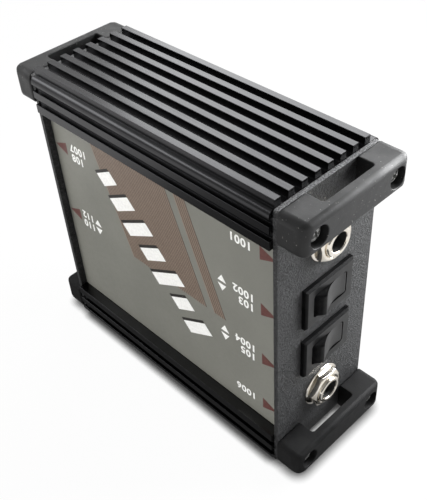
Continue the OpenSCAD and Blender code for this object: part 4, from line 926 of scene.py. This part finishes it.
def rocker_outline(r):
    """Outline of a rocker across its pivot, where its ends have the given radius."""
    u = (r * r - FACE_R ** 2 + FACE_U ** 2) / (2 * FACE_U)
    v = math.sqrt(r * r - u * u)
    reach = math.asin(v / FACE_R)
    limit = CAVITY_HALF - ROCKER_GAP
    points = [(FACE_U - FACE_R * math.cos(a), FACE_R * math.sin(a))
              for a in [reach * (i / 12 - 1) for i in range(25)]]
    first = math.atan2(v, u)
    last = max(first + 0.02, math.asin(min(1, limit / r)) - TILT)
    arc = [(r * math.cos(a), r * math.sin(a)) for a in [first + (last - first) * i / 8 for i in range(1, 9)]]
    foot = arc[-1][1] + (arc[-1][0] - SKIRT) * math.tan(TILT)
    ends = arc + [(SKIRT, foot)]
    return points + ends + [(a, -b) for a, b in reversed(ends)]


def hollow_outline(r):
    """Outline of the hollow that the rocker swings in."""
    last = math.asin(min(1, CAVITY_HALF / r))
    points = [(r * math.cos(a), r * math.sin(a)) for a in [last * (i / 20 - 1) for i in range(41)]]
    return points + [(FLOOR, points[-1][1]), (FLOOR, points[0][1])]


def bezel_edge(x, y, z):
    """Bevelled round the front, sharp elsewhere."""
    return BEVEL if x > 0 else 0.001


def shade_painted_sides(made, gloss, tilt=0.0):
    """Leaves the gloss to the faces that look out of the panel and takes it from the moulding's sides, as painted
    shade on them.
    """
    tree = made.node_tree
    normal = tree.nodes.new("ShaderNodeTexCoord").outputs["Normal"]
    facing = vector_number(tree, "DOT_PRODUCT", normal, (math.cos(tilt), math.sin(tilt), 0))
    outward = math_node(tree, "ABSOLUTE", facing)
    lead(made, spread(made, outward, 0.03, gloss, 0.68, 0.85), "Specular IOR Level")


switch_plastic = finish("switch_plastic", (0.008, 0.008, 0.0083), 0.36)
shade_painted_sides(switch_plastic, 0.28)
worn(switch_plastic, 0.004, 0.3, 0.4, 0.003, (0.006, 0.006, 0.0063), (0.011, 0.011, 0.0113))
raise_by(switch_plastic, grains(switch_plastic, 0.0003, 2.0), 0.000012, 0.6)
rocker_plastic = finish("rocker_plastic", (0.008, 0.008, 0.0083), 0.36)
shade_painted_sides(rocker_plastic, 0.48, TILT)
worn(rocker_plastic, 0.004, 0.28, 0.4, 0.002, (0.006, 0.006, 0.0063), (0.012, 0.012, 0.0123))
raise_by(rocker_plastic, grains(rocker_plastic, 0.00035, 3.0), 0.00003, 0.7)

housing = block("bezel", (0, -BEZEL_HALF_L, -BEZEL_HALF_W), (BEZEL_T, BEZEL_HALF_L, BEZEL_HALF_W), bezel_edge, 1)
round_edges(housing, BEZEL_ROUND)
body = block("switch_body", (-BODY_DEPTH, -BODY_HALF_L, -BODY_HALF_W), (0.5, BODY_HALF_L, BODY_HALF_W), SOFT_R, 1)
shaped(housing, "UNION", body)
hollow = drum("hollow", hollow_outline, SWING_R, OPENING_W / 2, OPENING_ROUND)
shaped(housing, "DIFFERENCE", shifted(hollow, BEZEL_T - PIVOT_DEPTH, 0, 0))
smooth(housing, 28)
rocker = drum("rocker", rocker_outline, ROCKER_R, OPENING_W / 2 - ROCKER_GAP, OPENING_ROUND - ROCKER_GAP)
round_edges(rocker, ROCKER_ROUND, 3, 32)
smooth(rocker, 32)
pins = turned_piece("pins", [(r, -x) for r, x in reversed(PIN_HALF)] + list(PIN_HALF), turns=32)
pins.data.transform(Matrix(((0, -1, 0, 0), (0, 0, -1, 0), (1, 0, 0, 0), (0, 0, 0, 1))))
smooth(pins)
joined(rocker, pins)
rocker.data.transform(Matrix.Rotation(TILT, 4, "Z"))

pivot_x = PLATE_OUT + BEZEL_T - PIVOT_DEPTH
for switch, z, way in (("filter_switch", 66.2, 1), ("pad_switch", 44.8, 1), ("lift_switch", 53.7, -1)):
    bezel_piece = stood(object_of(switch + "_bezel", housing.data.copy()), way, PLATE_OUT, z)
    fit(bezel_piece, "switch_plastic", switch + "_housing", made=switch_plastic)
    cap = stood(object_of(switch + "_rocker_cap", rocker.data.copy()), way, pivot_x, z)
    fit(cap, "rocker_plastic", switch + "_rocker", made=rocker_plastic, body=switch + "_rocker_body")
bpy.data.objects.remove(housing)
bpy.data.objects.remove(rocker)

# Output connector on the far end: a black coated casting with a cup and keyway, a moulded insert with three plated
# pins, and two screws with nuts behind the plate.
XLR_Z, FLANGE_T, FLANGE_HALF_W, FLANGE_HALF_H, FLANGE_CORNER, FLANGE_ROUND = 82.2, 2.2, 13, 15.5, 3.0, 0.6
CUP_R, CUP_DEPTH, CUP_BORE_R, CUP_FLOOR, CUP_MOUTH, TAIL_R = 10.7, 18, 8.1, -16.5, 0.5, 6.5
KEYWAY_HALF, KEYWAY_DEPTH, KEYWAY_TOP, INSERT_R, INSERT_FACE = 1.3, 11, 9.1, 8.0, -11.0
casting = finish("black_casting", (0.022, 0.022, 0.023), 0.4, gloss=0.45)
worn(casting, 0.004, 0.32, 0.48, 0.003, (0.018, 0.018, 0.019), (0.03, 0.03, 0.031))
raise_by(casting, grains(casting, 0.0004, 2.0), 0.000015, 0.6)


def flange_edge(x, y, z):
    """Round corners, a softened front and a sharp back."""
    return FLANGE_CORNER if x == 0 else (FLANGE_ROUND if x > 0 else 0.001)


shell = block("output_shell", (0, -FLANGE_HALF_W, -FLANGE_HALF_H), (FLANGE_T, FLANGE_HALF_W, FLANGE_HALF_H),
              flange_edge)
cup = turned_piece("cup", [(CUP_R - 0.5, -CUP_DEPTH), (CUP_R, 0.5 - CUP_DEPTH), (CUP_R, 1)], turns=80)
bore = [(TAIL_R, -20), (TAIL_R, CUP_FLOOR), (CUP_BORE_R, CUP_FLOOR)]
bore += [(CUP_BORE_R + g, FLANGE_T - d) for g, d in mouth(CUP_MOUTH)] + [(CUP_BORE_R + CUP_MOUTH, 3.5)]
shaped(shell, "UNION", cup)
shaped(shell, "DIFFERENCE", turned_piece("cup_bore", bore, turns=80),
       block("keyway", (-KEYWAY_DEPTH, -KEYWAY_HALF, 0), (4, KEYWAY_HALF, KEYWAY_TOP), SOFT_R, 1))
stood(shell, -1, PLATE_OUT, XLR_Z)
smooth(shell, 32)
fit(shell, "xlr_black", "xlr_shell", made=casting)

insert_plastic = finish("insert_plastic", (0.014, 0.014, 0.014), 0.5)
worn(insert_plastic, 0.001, 0.42, 0.6, 0.002, (0.011, 0.011, 0.011), (0.018, 0.018, 0.018))
insert = turned_piece("output_insert", [(INSERT_R, CUP_FLOOR), (INSERT_R, INSERT_FACE - 0.3),
                                        (INSERT_R - 0.3, INSERT_FACE)], turns=80)
stood(insert, -1, PLATE_OUT, XLR_Z)
smooth(insert)
fit(insert, "insert_plastic", "xlr_insert", made=insert_plastic)

pin_plate = finish("pin_plate", (0.75, 0.6, 0.3), 0.18, 1.0)
worn(pin_plate, 0.001, 0.12, 0.28, 0.001, (0.68, 0.53, 0.25), (0.78, 0.64, 0.34))
PIN_CIRCLE_R = 4.8
pin = turned_piece("output_pin", [(0.7, -23), (0.95, -22.7), (0.95, CUP_FLOOR), (1.2, CUP_FLOOR), (1.2, -2.2),
                                  (1.05, -1.6), (0.75, -1.15), (0.4, -1.0)], turns=28)
smooth(pin, 40)
pin_set = joined(*[
    shifted(object_of("output_pins", pin.data.copy()), 0, PIN_CIRCLE_R * math.cos(a), PIN_CIRCLE_R * math.sin(a))
    for a in [math.radians(turn) for turn in (30, 150, -90)]])
bpy.data.objects.remove(pin)
stood(pin_set, -1, PLATE_OUT, XLR_Z)
fit(pin_set, "pin_plate", "xlr_pins", made=pin_plate)
# Across and up from the middle, and the turn of the cross
SEATS = ((9.5, -12, -25), (-9.5, 12, 65))
screws("output_pan_screws", pan_head(head_d=5.5, head_h=1.8, shank_d=3.0, shank_l=7.1),
       [((-PLATE_OUT - FLANGE_T, y, XLR_Z + z), (-1, 0, 0), turn) for y, z, turn in SEATS], "xlr_screws")

# Inside the closed case: the jacks' springs, the switches' works and the board with its transformer, in plain
# finishes, as these pieces only show through the jacks or with the case open.
INSIDE = (
    # Finish, colour, roughness, metal or not, and how the nodes' names end
    ("laminated_fibre", (0.28, 0.13, 0.055), 0.6, 0, "insulators"),
    ("spring_brass", (0.62, 0.48, 0.22), 0.25, 1, "tip_spring"),
    ("zinc_plate", (0.6, 0.6, 0.58), 0.35, 1, ("rivets", "nuts", "transformer_screws", "clamp")),
    ("plunger_acetal", (0.75, 0.73, 0.66), 0.4, 0, "plunger"),
    ("drawn_wire", (0.6, 0.6, 0.58), 0.3, 1, "switch_spring"),
    ("stamped_brass", (0.7, 0.5, 0.22), 0.3, 1, ("contact", "terminals")),
    ("solder_mask", (0.02, 0.1, 0.045), 0.35, 0, "circuit_board"),
    ("varnished_laminations", (0.16, 0.16, 0.17), 0.45, 1, "transformer_core"),
    ("bobbin_nylon", (0.65, 0.6, 0.45), 0.5, 0, "transformer_bobbin"),
    ("enamelled_wire", (0.5, 0.2, 0.08), 0.35, 1, "transformer_winding"),
    ("tinned_lead", (0.68, 0.68, 0.66), 0.3, 1, "transformer_pins"),
    ("capacitor_case", (0.32, 0.03, 0.025), 0.3, 0, "film_capacitors"),
    ("resistor_lacquer", (0.5, 0.38, 0.22), 0.45, 0, "resistors"),
    ("wire_insulation", (0.38, 0.035, 0.03), 0.45, 0, "hookup_wires"),
)
for name, colour, rough, metal, endings in INSIDE:
    made = finish(name, colour, rough, metal)
    worn(made, 0.0015, rough - 0.07, rough + 0.08, 0.002, toned(colour, 0.85), toned(colour, 1.1))
    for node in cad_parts:
        if node.endswith(endings):
            paint(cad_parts[node].data, made)
